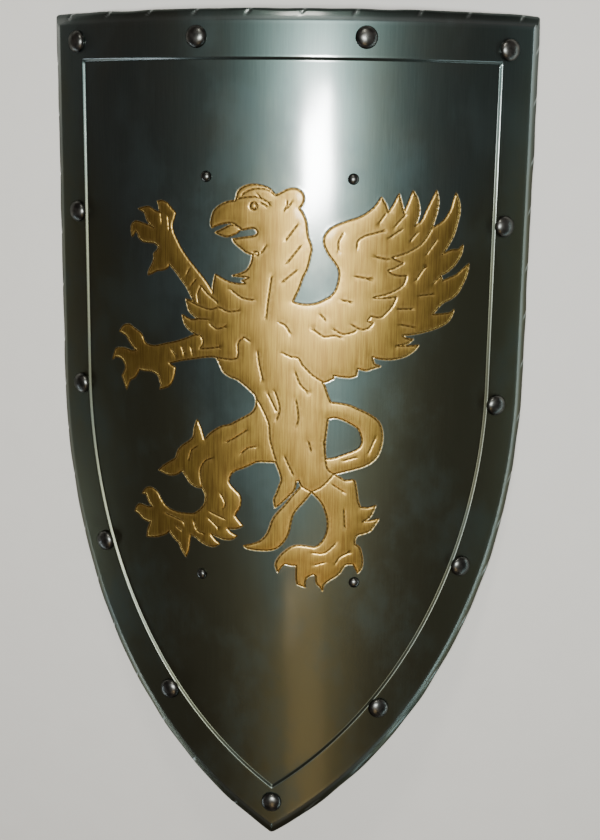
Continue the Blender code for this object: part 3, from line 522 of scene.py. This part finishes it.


# The step from the border down to the field, from its top to its foot, as shares of its run and rise,
# with the painted highlight along its top and the painted shade down its slope and at its foot.
STEP_SECTION = (
    (1.08, 1.000, 0.0, 0.0),
    (1.00, 0.980, 0.10, 0.0),
    (0.91, 0.895, 0.14, 0.1),
    (0.80, 0.755, 0.0, 0.65),
    (0.65, 0.525, 0.0, 0.75),
    (0.50, 0.290, 0.0, 0.75),
    (0.38, 0.105, 0.0, 0.75),
    (0.28, 0.015, 0.0, 0.75),
    (0.16, 0.000, 0.0, 0.3),
)
STEP_MARGIN = 0.0010
CURL_INSIDE_STEPS = 5
CURL_OUTSIDE_STEPS = 22
TURN_DOWN_SHARES = (0.2, 0.4, 0.6, 0.8, 0.9, 1.0)
DOWN = (0.0, -1.0)


def roll_start(radius, height):
    """The turn at which a straight line from the border, at this height, runs smoothly into the curl."""
    across, up = TURN_DOWN_WIDTH - ROLL_RADIUS, height - ROLL_CENTRE_Z
    return math.acos(radius / math.hypot(across, up)) - math.atan2(across, up)


def roll_points(radius, height, steps):
    """Places round the curl from the border to its free edge, as (inset, height, the way in)."""
    start = roll_start(radius, height)
    turns = [start + (ROLL_SWEEP - start) * step / steps for step in range(steps + 1)]
    around = [(math.sin(turn), -math.cos(turn)) for turn in turns]
    return [(ROLL_RADIUS - radius * x, ROLL_CENTRE_Z - radius * z, (x, z)) for x, z in around]


def plain(inset, height):
    """A place of the border's section with no painted highlight, no cut and no painted shade."""
    return inset, height, DOWN, 0.0, 0.0, 0.0


def border_section():
    """The border's section as (inset, height, way in, painted highlight, how deep the cuts go, painted
    shade).

    It runs along the back, round inside the curl, over the outside of the curl, and home along the front."""
    top, under = BORDER_RISE + HALF_SHEET, BORDER_RISE - HALF_SHEET
    back = [
        plain(BORDER_WIDTH + STEP_MARGIN, -HALF_SHEET),
        plain(BORDER_WIDTH, -HALF_SHEET),
        plain(BORDER_WIDTH - STEP_RUN, under),
        plain(TURN_DOWN_WIDTH, under),
    ]
    inner = roll_points(ROLL_RADIUS - SHEET_THICKNESS, under, CURL_INSIDE_STEPS)
    outer = roll_points(ROLL_RADIUS, top, CURL_OUTSIDE_STEPS)
    # Painted shade inside the curl and over its outside, deepest towards its free edge.
    curl = [(*place, 0.0, 0.0, 0.5) for place in inner]
    for step, place in reversed(list(enumerate(outer))):
        dark = min(0.55 + 0.15 * step, 0.9)
        curl.append((*place, 0.0, max(1 - step / 5, 0.0), dark))
    meet_inset, meet_height = curl[-1][:2]
    front = []
    # Along the turn-down: a painted highlight towards the border, painted shade towards the curl, and a
    # faint painted highlight where it meets the border.
    for share in TURN_DOWN_SHARES:
        inset = meet_inset + (TURN_DOWN_WIDTH - meet_inset) * share
        drop = (top - meet_height) * ((1 - share) * 0.62 + (1 - share) ** 2 * 0.38)
        wear_and_highlight = 0.30 * math.exp(-(((share - 0.75) / 0.25) ** 2))
        front.append((inset, top - drop, DOWN, wear_and_highlight, max(1 - 2.2 * share, 0.0), max(0.5 - share, 0.0)))
    front.append((TURN_DOWN_WIDTH + 0.0006, top, DOWN, 0.05, 0.0, 0.0))
    front += [plain(inset, top) for inset in (0.0130, 0.0240, BORDER_WIDTH - STEP_RUN - 0.0020)]
    for run, rise, painted_highlight, dark in STEP_SECTION:
        inset, height = BORDER_WIDTH - STEP_RUN * run, BORDER_RISE * rise + HALF_SHEET
        front.append((inset, height, DOWN, painted_highlight, 0.0, dark))
    front.append(plain(BORDER_WIDTH + STEP_MARGIN, HALF_SHEET))
    return back + curl + front


def nick_cut(places, nicks):
    """How deep each flat place lies in a slanting cut, from 0 to 1."""
    depth = np.zeros(len(places))
    across = np.array([-math.sin(NICK_TURN), math.cos(NICK_TURN)])
    for x, y in nicks:
        gap = (places - (x, y)) @ across
        reach = np.linalg.norm(places - (x, y), axis=1)
        cut = np.clip(1 - (gap / NICK_HALF_WIDTH) ** 2, 0, 1) * smooth_step(reach, *NICK_FADE)
        depth = np.maximum(depth, cut)
    return depth


def hand_waver(travel):
    """How far the hand-curled edge strays from its line, in metres."""
    waves = math.sin(travel / 0.0113 + 0.7) + math.sin(travel / 0.0071 + 2.0) + math.sin(travel / 0.0290)
    return WAVER * waves


def grid_places(spacing, keep):
    """Places of a staggered grid over the field, those that keep says yes to."""
    columns = np.arange(-HALF_WIDTH, HALF_WIDTH, spacing)
    rows = np.arange(-TOP_Y, TOP_Y, spacing * ROW_SHARE)
    x, y = np.meshgrid(columns, rows)
    x = x + (np.arange(len(rows)) % 2)[:, None] * spacing / 2
    places = np.stack([x.ravel(), y.ravel()], 1)
    return places[keep(places)]


def line_places():
    """Rows of places along both sides of every chased line."""
    rows = []
    for curve, closed in drawing_curves(LINE_SPACING):
        along = directions(curve, closed)
        normal = np.stack([-along[:, 1], along[:, 0]], 1)
        for offset in LINE_OFFSETS:
            for side in (1, -1) if offset else (1,):
                rows.append(curve + normal * offset * side)
    return np.concatenate(rows)


def thin_out(places, cell):
    """Keeps one place in each small square."""
    squares = np.round(places / cell).astype(int)
    _, first = np.unique(squares, axis=0, return_index=True)
    return places[np.sort(first)]


def fill_ring(ring, places):
    """Triangles that fill a ring of places with the given inner places: (all places, triangles)."""
    verts = [Vector(place) for place in np.concatenate([ring, places])]
    filled = delaunay_2d_cdt(verts, [], [list(range(len(ring)))], 1, 1e-7)
    return np.array([tuple(vert) for vert in filled[0]]), [tuple(face) for face in filled[2]]


def band_faces(levels, count):
    """Faces that join closed rings of points, each ring to the next."""
    faces = []
    for level in range(levels - 1):
        low, high = level * count, (level + 1) * count
        for station in range(count):
            after = (station + 1) % count
            faces.append((low + station, low + after, high + after, high + station))
    return faces


def bent(flat, heights):
    """Where points of the flat pattern lie once the sheet is bent, before the shield is set on the floor."""
    turn = flat[:, 0] / BEND_RADIUS
    reach = BEND_RADIUS + heights
    return np.stack([reach * np.sin(turn), flat[:, 1], reach * np.cos(turn) - BEND_RADIUS], 1)


def new_piece(name, points, faces, *finishes):
    mesh = bpy.data.meshes.new(name)
    mesh.from_pydata([tuple(point) for point in points], [], faces)
    mesh.validate()
    for finish in finishes:
        mesh.materials.append(finish)
    mesh.shade_smooth()
    piece = bpy.data.objects.new(name, mesh)
    bpy.context.scene.collection.objects.link(piece)
    return piece


def paint_masks(mesh, brass, groove, wear_and_highlight):
    """Stores how each point is finished, for the material to read: brass, the darkening of grooves and
    creases, which on the sheet is painted shade, and wear, which on the sheet is also painted highlight.
    """
    masks = mesh.color_attributes.new("finish_masks", "FLOAT_COLOR", "POINT")
    colours = np.stack([brass, groove, wear_and_highlight, np.ones(len(brass))], 1)
    masks.data.foreach_set("color", colours.astype(np.float32).ravel())


def border_rings(edge, section):
    """Each place of the section all round the edge: (flat places, heights, painted highlight with the cuts'
    bright metal, painted shade).
    """
    nicks = nick_travels(edge)
    travels = station_travels(edge, nicks)
    nick_places = [edge.signed_place(travel, ROLL_RADIUS) for travel in nicks]
    rings, heights, worn_and_highlit, painted_shades = [], [], [], []
    for inset, height, way_in, wear_and_highlight, depth, dark in section:
        ring = np.array([edge.signed_place(travel, inset) for travel in travels])
        pressed = nick_cut(ring, nick_places) if depth else np.zeros(len(travels))
        heights.append(height + NICK_DEPTH * depth * pressed * way_in[1])
        # The painted highlight is stronger on the right than on the left, the painted shade on the step is
        # eased along the top, and the cuts are painted bright, as bare cut metal and a painted highlight,
        # with no painted shade.
        highlight_to_right = 0.3 + 0.7 * smooth_step(ring[:, 0], -0.10, 0.05)
        shade_eased_at_top = 1 - 0.5 * smooth_step(ring[:, 1], 0.305, 0.315) if inset > BORDER_WIDTH / 2 else 1.0
        worn_and_highlit.append(np.clip(wear_and_highlight * highlight_to_right + 0.6 * depth * pressed, 0, 1))
        painted_shades.append(dark * shade_eased_at_top * (1 - pressed))
        loose = max(1 - inset / TURN_DOWN_WIDTH, 0.0)
        for station, travel in enumerate(travels):
            moved = NICK_DEPTH * depth * pressed[station] * way_in[0] + loose * hand_waver(travel)
            if moved:
                ring[station] = edge.signed_place(travel, max(inset + moved, 0.0))
        rings.append(ring)
    return [np.concatenate(column) for column in (rings, heights, worn_and_highlit, painted_shades)]


def front_fill():
    """Places within the border: close along the chased lines, wider on the griffin, widest on the field."""
    near_lines = Lines(drawing_curves(NEAR_LINE_SPACING))
    low, high = OUTLINE_BOX[0] - GRIFFIN_MARGIN, OUTLINE_BOX[1] + GRIFFIN_MARGIN

    def by_griffin(places):
        return ((places > low) & (places < high)).all(1)

    def fine(places):
        close = by_griffin(places) & (edge_inset(places) > BORDER_WIDTH + 0.0030)
        close[close] &= near_lines.measure(places[close])[0] > LINE_CLEARANCE
        return close

    def coarse(places):
        return ~by_griffin(places) & (edge_inset(places) > BORDER_WIDTH + 0.0045)

    lines = thin_out(line_places(), LINE_CELL)
    lines = lines[edge_inset(lines) > BORDER_WIDTH + 0.0020]
    return np.concatenate([lines, grid_places(GRIFFIN_SPACING, fine), grid_places(FIELD_SPACING, coarse)])


def back_fill():
    """Places of the plain back, within the border."""
    return grid_places(BACK_SPACING, lambda places: edge_inset(places) > BORDER_WIDTH + 0.006)


def make_sheet(finish):
    """The whole pressed sheet as one closed mesh: the border's rings, then the field's front and back."""
    section = border_section()
    flat, ring_heights, ring_highlight_and_wear, ring_painted_shade = border_rings(Edge(), section)
    count = len(flat) // len(section)
    front_places, front_faces = fill_ring(flat[-count:], front_fill())
    back_places, back_faces = fill_ring(flat[:count], back_fill())
    field_height, brass, groove, wear_and_highlight = Relief().shape(front_places)
    field_height[:count] = HALF_SHEET

    faces = band_faces(len(section), count)
    start_front = len(flat)
    faces += [tuple(start_front + index for index in face) for face in front_faces]
    start_back = start_front + len(front_places)
    faces += [tuple(start_back + index for index in reversed(face)) for face in back_faces]

    all_flat = np.concatenate([flat, front_places, back_places])
    all_heights = np.concatenate([ring_heights, field_height, np.full(len(back_places), -HALF_SHEET)])
    points = bent(all_flat, all_heights)
    points[:, 2] = np.maximum(points[:, 2] + CROWN_HEIGHT, 0)
    piece = new_piece("pressed_sheet", points, faces, finish)
    zeros_ring, zeros_back = np.zeros(len(flat)), np.zeros(len(back_places))
    # On the sheet the green mask is painted shade in the chased lines, on the step's slope and round the
    # curl. The blue mask is painted highlight on the border and the burrs, and bare metal with a painted
    # highlight in the cuts.
    paint_masks(
        piece.data,
        np.concatenate([zeros_ring, brass, zeros_back]),
        np.concatenate([ring_painted_shade, groove, zeros_back]),
        np.concatenate([ring_highlight_and_wear, wear_and_highlight, zeros_back]),
    )
    weld(piece, 2e-6)
    return piece


def weld(piece, distance):
    shape = bmesh.new()
    shape.from_mesh(piece.data)
    bmesh.ops.remove_doubles(shape, verts=shape.verts, dist=distance)
    bmesh.ops.dissolve_degenerate(shape, dist=1e-6, edges=shape.edges)
    bmesh.ops.recalc_face_normals(shape, faces=shape.faces)
    shape.to_mesh(piece.data)
    shape.free()


# Rivets: half outlines from the top of the dome down, in metres, with z 0 on the sheet's front.
RIVET_SIDES = 40
RIVET_DOME_STEPS = 12
RIVET_TAIL_STEPS = 6
DOME_RIM = 0.0004
DOME_GAP = 0.0001
TAIL_GAP = 0.0002
TAIL_RIM = 0.0003
DENT_SHARE = 0.05
BORDER_RIVET = {
    "head": 0.009, "rise": 0.0054, "shank": 0.0024, "tail": 0.00425, "tail_rise": 0.0020, "grip": 0.0012,
}
STRAP_RIVET = {
    "head": 0.00465, "rise": 0.0036, "shank": 0.0018, "tail": 0.0045, "tail_rise": 0.0016, "grip": 0.0045,
}


def rivet_outline(size):
    """(radius, height) from the dome's top to the tail's underside, with a small rim under the dome."""
    outline = []
    for step in range(RIVET_DOME_STEPS + 1):
        turn = math.pi / 2 * step / RIVET_DOME_STEPS
        outline.append((size["head"] * math.sin(turn), DOME_RIM + size["rise"] * math.cos(turn) ** 0.92))
    outline += [(size["head"] * 0.985, DOME_GAP), (size["shank"], DOME_GAP)]
    tail_top = -size["grip"] - TAIL_GAP
    outline += [(size["shank"], tail_top), (size["tail"] * 0.97, tail_top)]
    for step in range(RIVET_TAIL_STEPS + 1):
        turn = math.pi / 2 * step / RIVET_TAIL_STEPS
        height = tail_top - TAIL_RIM - size["tail_rise"] * math.sin(turn) * 0.8
        outline.append((size["tail"] * math.cos(turn), height))
    return outline


def turn_outline(outline, sides):
    """(points, faces) of a closed solid turned about Z."""
    points, rings = [], []
    for radius, height in outline:
        if radius < 1e-6:
            rings.append([len(points)])
            points.append((0, 0, height))
            continue
        rings.append(list(range(len(points), len(points) + sides)))
        points += [(radius * c, radius * s, height) for c, s in circle(sides)]
    faces = []
    for upper, lower in zip(rings, rings[1:]):
        for side in range(sides):
            after = (side + 1) % sides
            if len(upper) == 1:
                faces.append((upper[0], lower[side], lower[after]))
            elif len(lower) == 1:
                faces.append((upper[side], lower[0], upper[after]))
            else:
                faces.append((upper[side], lower[side], lower[after], upper[after]))
    return np.array(points), faces


def node_place(node):
    """(y, lean) of a rivet's own axis, which passes through the middle of its solid's points."""
    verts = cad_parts[node].data.vertices
    middle = sum((vert.co for vert in verts), Vector()) / len(verts)
    return middle.y, math.atan2(middle.x, middle.z - BEND_AXIS_Z)


def make_rivet(node, size, seat, finish, spread):
    """A domed rivet over its solid, a little dented and out of round, as hand-set ones are."""
    points, faces = turn_outline(rivet_outline(size), RIVET_SIDES)
    turn, dent = spread.uniform(0, 2 * math.pi), spread.uniform(0.4, 1.0)
    radius = np.linalg.norm(points[:, :2], axis=1) / size["head"]
    flat_side = np.cos(np.arctan2(points[:, 1], points[:, 0]) - turn)
    points[:, 2] -= np.clip(points[:, 2], 0, 1) * DENT_SHARE * dent * radius * flat_side
    y, lean = node_place(node)
    place = Matrix.Translation((0, y, BEND_AXIS_Z)) @ Matrix.Rotation(lean, 4, "Y")
    place = place @ Matrix.Translation((0, 0, BEND_RADIUS + seat))
    name = node.replace("rivet", "rivet_dome")
    piece = new_piece(name, [place @ Vector(point) for point in points], faces, finish)
    piece.data.set_sharp_from_angle(angle=math.radians(50))
    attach(piece, "root")
    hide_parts(node)


# Straps, as the solids have them.
STRAP_WIDTH = 0.034
STRAP_THICKNESS = 0.003
STRAP_END_PAST_RIVET = 0.016
STRAP_SEAT_INSIDE_RIVET = 0.010
STRAP_BOW = 0.044
STRAP_GRIP_LENGTH = 0.030
SEAT_GAP = 0.0003
STRAPS = {
    "upper_strap": {"middle": 0.0, "y": 0.226, "half_spacing": 0.06075},
    "lower_strap": {"middle": 0.002, "y": -0.1165, "half_spacing": 0.067},
}
STRAP_STATIONS = 120
STRAP_COLUMNS = 28
STRAP_CORNER = 0.0085
STRAP_ROUNDING = 0.0011
STRAP_WORN_EDGE = 0.0012
CREASE_INSET = 0.0032
CREASE_HALF_WIDTH = 0.0007
CREASE_DEPTH = 0.00045


def strap_path(across, half_spacing):
    """The middle of a strap's thickness, this far from its own middle: (x, z) from the sheet's crown."""
    seat_radius = BEND_RADIUS - HALF_SHEET - SEAT_GAP - STRAP_THICKNESS / 2
    side, reach = math.copysign(1, across), abs(across)
    flat_to = STRAP_GRIP_LENGTH / 2
    seated_from = half_spacing - STRAP_SEAT_INSIDE_RIVET
    share = min(max((seated_from - reach) / (seated_from - flat_to), 0.0), 1.0)
    drop = STRAP_BOW * share * share * (3 - 2 * share)
    level_turn = max(reach, flat_to) / BEND_RADIUS
    z = seat_radius * math.cos(level_turn) - BEND_RADIUS - drop
    return side * seat_radius * math.sin(reach / BEND_RADIUS), z


def make_strap(name, middle, y, half_spacing, finish):
    """A leather strap with rounded edges and a tooled crease inside each edge."""
    half_length = half_spacing + STRAP_END_PAST_RIVET
    half_width, half = STRAP_WIDTH / 2, STRAP_THICKNESS / 2
    points, wear_and_highlight, crease = [], [], []
    columns = [2 * column / STRAP_COLUMNS - 1 for column in range(STRAP_COLUMNS + 1)]
    loop = [(column, 1) for column in columns] + [(column, -1) for column in reversed(columns)]
    for station in range(STRAP_STATIONS + 1):
        share = 0.5 - 0.5 * math.cos(math.pi * station / STRAP_STATIONS)
        share = 0.25 * share + 0.75 * station / STRAP_STATIONS
        across = half_length * (2 * share - 1)
        from_end = half_length - abs(across)
        corner = max(STRAP_CORNER - from_end, 0.0)
        width = half_width - STRAP_CORNER + math.sqrt(max(STRAP_CORNER**2 - corner**2, 0.0))
        x0, z0 = strap_path(across, half_spacing)
        ahead, behind = strap_path(across + 1e-4, half_spacing), strap_path(across - 1e-4, half_spacing)
        run = Vector((ahead[0] - behind[0], 0, ahead[1] - behind[1])).normalized()
        normal = Vector((-run.z, 0, run.x))
        for share_across, face in loop:
            place = share_across * width
            from_edge = min(width - abs(place), from_end)
            rounding = math.sqrt(max(1 - max(1 - from_edge / STRAP_ROUNDING, 0.0) ** 2, 0.0))
            groove = max(1 - ((from_edge - CREASE_INSET) / CREASE_HALF_WIDTH) ** 2, 0.0)
            height = face * (half * (0.35 + 0.65 * rounding) - CREASE_DEPTH * groove)
            points.append(Vector((x0, place, z0)) + normal * height)
            wear_and_highlight.append(1 - rounding * 0.999 if from_edge < STRAP_WORN_EDGE else 0.0)
            crease.append(groove)
    ring = len(loop)
    faces = [tuple(range(ring))[::-1], tuple(range(len(points) - ring, len(points)))]
    faces += band_faces(STRAP_STATIONS + 1, ring)
    lean = Matrix.Rotation(middle / BEND_RADIUS, 4, "Y")
    pivot = Matrix.Translation((0, 0, BEND_AXIS_Z))
    place = Matrix.Translation((0, y, 0)) @ pivot @ lean @ Matrix.Translation((0, 0, BEND_RADIUS))
    piece = new_piece(name + "_leather", [place @ point for point in points], faces, finish)
    paint_masks(piece.data, np.zeros(len(points)), np.array(crease), np.array(wear_and_highlight))
    weld(piece, 1e-6)
    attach(piece, "root")
    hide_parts(name)


class Wire:
    """A socket that takes part in sums: every operator adds a Math node."""

    def __init__(self, finish, socket):
        self.finish = finish
        self.socket = socket

    def math(self, operation, *values):
        return self.finish.add("ShaderNodeMath", {"operation": operation}, dict(enumerate(values)))

    def __add__(self, other):
        return self.math("ADD", self, other)

    def __sub__(self, other):
        return self.math("SUBTRACT", self, other)

    def __rsub__(self, other):
        return self.math("SUBTRACT", other, self)

    def __mul__(self, other):
        return self.math("MULTIPLY", self, other)

    __radd__ = __add__
    __rmul__ = __mul__


class Finish:
    """A procedural material: nodes come from one method, constants go on the shader's own sockets."""

    def __init__(self, name, **constants):
        self.material = bpy.data.materials.new(name)
        self.material.use_nodes = True
        self.tree = self.material.node_tree
        self.shader = self.tree.nodes["Principled BSDF"]
        for socket, value in constants.items():
            self.shader.inputs[socket.replace("_", " ")].default_value = value

    def add(self, kind, settings=None, values=None, out=0):
        node = self.tree.nodes.new(kind)
        for setting, value in (settings or {}).items():
            setattr(node, setting, value)
        self.feed(node, values or {})
        return Wire(self, node.outputs[out])

    def feed(self, node, values):
        for socket, value in values.items():
            if isinstance(value, Wire):
                self.tree.links.new(value.socket, node.inputs[socket])
            else:
                node.inputs[socket].default_value = value

    def places(self, stretch):
        """The object's own coordinates, stretched along each axis."""
        own = self.add("ShaderNodeTexCoord", out="Object")
        return self.add("ShaderNodeVectorMath", {"operation": "MULTIPLY"}, {0: own, 1: stretch})

    def noise(self, stretch, detail=3.0, roughness=0.55, offset=0.0):
        places = self.places(stretch)
        if offset:
            places = self.add("ShaderNodeVectorMath", {"operation": "ADD"}, {0: places, 1: [offset] * 3})
        values = {"Vector": places, "Scale": 1.0, "Detail": detail, "Roughness": roughness}
        return self.add("ShaderNodeTexNoise", {}, values)

    def between(self, value, low, high):
        """0 below low, 1 above high, and smooth between."""
        limits = {"Value": value, "From Min": low, "From Max": high}
        return self.add("ShaderNodeMapRange", {"interpolation_type": "SMOOTHSTEP"}, limits)

    def blend(self, share, first, second):
        """A colour that goes from the first to the second as the share goes from 0 to 1."""
        colours = {0: share, 6: colour(first), 7: colour(second)}
        return self.add("ShaderNodeMix", {"data_type": "RGBA"}, colours, out=2)

    def masks(self):
        """(brass, groove darkening, which on the sheet is painted shade, wear, which on the sheet is also
        painted highlight), as the mesh stores them.
        """
        stored = self.add("ShaderNodeAttribute", {"attribute_name": "finish_masks"}, out="Color")
        names = ("Red", "Green", "Blue")
        return [self.add("ShaderNodeSeparateColor", {}, {"Color": stored}, out=name) for name in names]

    def shade(self, base, roughness, height, strength, distance):
        values = {"Height": height, "Strength": strength, "Distance": distance}
        bump = self.add("ShaderNodeBump", {}, values)
        self.feed(self.shader, {"Base Color": base, "Roughness": roughness, "Normal": bump})
        return self.material


def colour(value):
    return value if isinstance(value, Wire) else (*value, 1.0)


def sheet_finish():
    """Blackened steel brushed up and down, with a brushed brass coating on the griffin, painted shade in the
    chased lines and on the border's step and curl, and painted highlights on the border and the lines'
    burrs.
    """
    tint = (0.6, 0.6, 0.6, 1)
    steel = Finish("blackened_steel", Metallic=1.0, Coat_Roughness=0.13, Coat_IOR=1.7, Specular_Tint=tint)
    brass, groove, wear_and_highlight = steel.masks()
    fine_streaks = steel.noise((2600, 22, 2600), detail=4.0, roughness=0.6)
    brush_streaks = steel.noise((900, 30, 900), detail=4.0, roughness=0.65)
    clouds = steel.noise((9, 7, 9), detail=4.0)
    specks = steel.noise((900, 900, 900), detail=2.0, offset=3.7)
    own = {"Vector": steel.places((1, 1, 1))}
    across, up = [steel.add("ShaderNodeSeparateXYZ", {}, own, out=axis) for axis in "XY"]
    dark = steel.blend(brush_streaks, (0.040, 0.062, 0.058), (0.064, 0.093, 0.086))
    # Painted reflection: a warm olive sheen over the lower middle of the field, with the coat thinned there
    # too.
    warm_reflection_share = steel.between(up - 2.2 * across.math("ABSOLUTE", across) + 0.16 * clouds, 0.0, -0.14)
    olive_reflection = steel.blend(warm_reflection_share * 0.9, dark, (0.078, 0.080, 0.050))
    patina = steel.blend(steel.between(clouds, 0.45, 0.75) * 0.30, olive_reflection, (0.092, 0.084, 0.054))
    blued = steel.between(steel.noise((16, 11, 16), detail=5.0, roughness=0.62, offset=8.3), 0.44, 0.66)
    tempered = steel.blend(blued * 0.40, patina, (0.046, 0.070, 0.072))
    # Painted highlight: the border's step and turn-down, and the cuts, painted pale steel.
    worn_and_highlit = steel.blend(wear_and_highlight, tempered, (0.40, 0.47, 0.47))
    # Painted shade: the chased lines, the step's slope and the curl painted near black.
    steel_colour = steel.blend(groove * 0.5, worn_and_highlit, (0.02, 0.02, 0.018))
    streaked = steel.between(brush_streaks, 0.30, 0.70)
    gold = steel.blend(streaked, (0.185, 0.112, 0.029), (0.300, 0.205, 0.048))
    tarnish = steel.blend(steel.between(clouds, 0.40, 0.66) * 0.3, gold, (0.150, 0.084, 0.024))
    # Painted highlight on the brass burr beside each chased line.
    gold_with_painted_highlight = steel.blend(wear_and_highlight, tarnish, (0.56, 0.37, 0.11))
    # Painted shade in the chased lines across the brass.
    brass_colour = steel.blend(groove * 0.9, gold_with_painted_highlight, (0.040, 0.018, 0.005))
    base = steel.blend(brass, steel_colour, brass_colour)
    steel_roughness = 0.33 + 0.08 * fine_streaks + 0.07 * blued - 0.08 * wear_and_highlight
    brass_roughness = 0.38 + 0.08 * brush_streaks - 0.08 * wear_and_highlight
    roughness = steel_roughness + brass * (brass_roughness - steel_roughness)
    steel.feed(steel.shader, {"Coat Weight": (0.95 - 0.87 * brass) * (1 - 0.9 * warm_reflection_share) * (1 - groove)})
    height = fine_streaks * 0.5 + brush_streaks * 0.3 * brass + specks * 0.2
    return steel.shade(base, roughness, height, 0.20, 0.0002)


def rivet_finish():
    steel = Finish("rivet_steel", Metallic=1.0, Specular_Tint=(0.4, 0.4, 0.4, 1))
    clouds = steel.noise((160, 160, 160), detail=3.0)
    scratches = steel.noise((1800, 300, 900), detail=3.0, offset=1.9)
    base = steel.blend(steel.between(clouds, 0.35, 0.70), (0.060, 0.062, 0.058), (0.135, 0.135, 0.125))
    roughness = 0.24 + 0.12 * clouds + 0.06 * scratches
    return steel.shade(base, roughness, scratches, 0.10, 0.0002)


def leather_finish():
    leather = Finish("brown_leather", Metallic=0.0)
    _, crease, wear_and_highlight = leather.masks()
    grain = {"Vector": leather.places((900, 900, 900)), "Scale": 1.0}
    pores = leather.add("ShaderNodeTexVoronoi", {"feature": "F1"}, grain)
    clouds = leather.noise((60, 60, 60), detail=4.0)
    base = leather.blend(clouds, (0.085, 0.036, 0.016), (0.175, 0.082, 0.038))
    burnished = leather.blend(wear_and_highlight * 0.8, base, (0.030, 0.014, 0.008))
    creased = leather.blend(crease * 0.6, burnished, (0.035, 0.016, 0.009))
    roughness = 0.50 + 0.16 * clouds - 0.18 * wear_and_highlight
    height = pores * 0.6 + clouds * 0.4
    return leather.shade(creased, roughness, height, 0.35, 0.0004)


def floor_finish():
    plain = Finish("pale_floor", Roughness=0.75)
    grain = plain.noise((30, 30, 30), detail=3.0)
    base = plain.blend(grain, (0.66, 0.645, 0.61), (0.70, 0.685, 0.65))
    return plain.shade(base, 0.72 + 0.06 * grain, grain, 0.05, 0.001)


FLOOR_SIZE = 8.0
FLOOR_GAP = 0.0002


def make_floor():
    half = FLOOR_SIZE / 2
    corners = [(-half, -half, 0), (half, -half, 0), (half, half, 0), (-half, half, 0)]
    floor = new_piece("studio_floor", corners, [(0, 1, 2, 3)], floor_finish())
    floor.location.z = -FLOOR_GAP


def aim(thing, target):
    thing.rotation_euler = (Vector(target) - thing.location).to_track_quat("-Z", "Y").to_euler()


def soft_light(name, place, target, width, height, watts, tint):
    light = bpy.data.lights.new(name, "AREA")
    light.shape = "RECTANGLE"
    light.size = width
    light.size_y = height
    light.energy = watts
    light.color = tint
    lamp = bpy.data.objects.new(name, light)
    lamp.location = place
    bpy.context.scene.collection.objects.link(lamp)
    aim(lamp, target)


# Lights: name, place, what each points at, width, height, watts and tint.
LIGHTS = (
    ("key_panel", (0.12, 0.22, 1.60), (0.03, 0.20, 0.06), 0.19, 0.23, 35, (0.97, 1.0, 0.99)),
    ("warm_fill", (0.09, -1.00, 1.60), (0.02, -0.20, 0.06), 0.38, 0.70, 3.0, (1.0, 0.69, 0.33)),
    ("right_strip", (1.60, -0.10, 0.07), (0.20, -0.05, 0.0), 1.60, 0.12, 4.5, (0.78, 0.97, 1.0)),
    ("lower_right_strip", (1.25, -1.20, 0.35), (0.13, -0.20, 0.03), 1.00, 0.16, 3.0, (0.72, 0.95, 1.0)),
    ("lower_left_strip", (-1.40, -1.05, 0.09), (-0.13, -0.20, 0.03), 1.20, 0.16, 6.0, (0.78, 0.90, 1.0)),
    ("top_strip", (-0.05, 1.35, 1.05), (0.0, 0.36, 0.06), 0.30, 0.30, 6.0, (1.0, 0.97, 0.88)),
)
BACKDROP_TINT = (1.0, 0.78, 0.71, 1)
BACKDROP_STRENGTH = 0.105


def make_lights():
    world = bpy.data.worlds.new("studio")
    world.use_nodes = True
    backdrop = world.node_tree.nodes["Background"]
    backdrop.inputs["Color"].default_value = BACKDROP_TINT
    backdrop.inputs["Strength"].default_value = BACKDROP_STRENGTH
    bpy.context.scene.world = world
    for light in LIGHTS:
        soft_light(*light)


# Camera, fitted to the photograph: where it stands over the sheet's crown, and its three axes.
CAMERA_PLACE = (0.1643, 0.2592, 1.0633)
CAMERA_RIGHT = (0.9904, 0.0143, -0.1371)
CAMERA_UP = (-0.0429, 0.9771, -0.2084)
CAMERA_BACK = (0.1310, 0.2124, 0.9683)
CAMERA_LENS = 55.95
SENSOR_HEIGHT = 36.0


def make_camera():
    camera = bpy.data.cameras.new("photo_camera")
    camera.sensor_fit = "VERTICAL"
    camera.sensor_height = SENSOR_HEIGHT
    camera.lens = CAMERA_LENS
    view = bpy.data.objects.new("photo_camera", camera)
    axes = Matrix((CAMERA_RIGHT, CAMERA_UP, CAMERA_BACK)).transposed()
    place = Vector(CAMERA_PLACE) + Vector((0, 0, CROWN_HEIGHT))
    view.matrix_world = Matrix.Translation(place) @ axes.to_4x4()
    bpy.context.scene.collection.objects.link(view)
    bpy.context.scene.camera = view


def main():
    sheet = make_sheet(sheet_finish())
    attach(sheet, "root")
    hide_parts("shield_sheet")
    polished = rivet_finish()
    spread = random.Random(11)
    border_seat = BORDER_RISE + HALF_SHEET
    for number in range(1, 14):
        make_rivet(f"border_rivet_{number:02d}", BORDER_RIVET, border_seat, polished, spread)
    for number in range(1, 5):
        make_rivet(f"strap_rivet_{number}", STRAP_RIVET, HALF_SHEET, polished, spread)
    leather = leather_finish()
    for name, places in STRAPS.items():
        make_strap(name, **places, finish=leather)
    make_floor()
    make_lights()
    make_camera()


main()
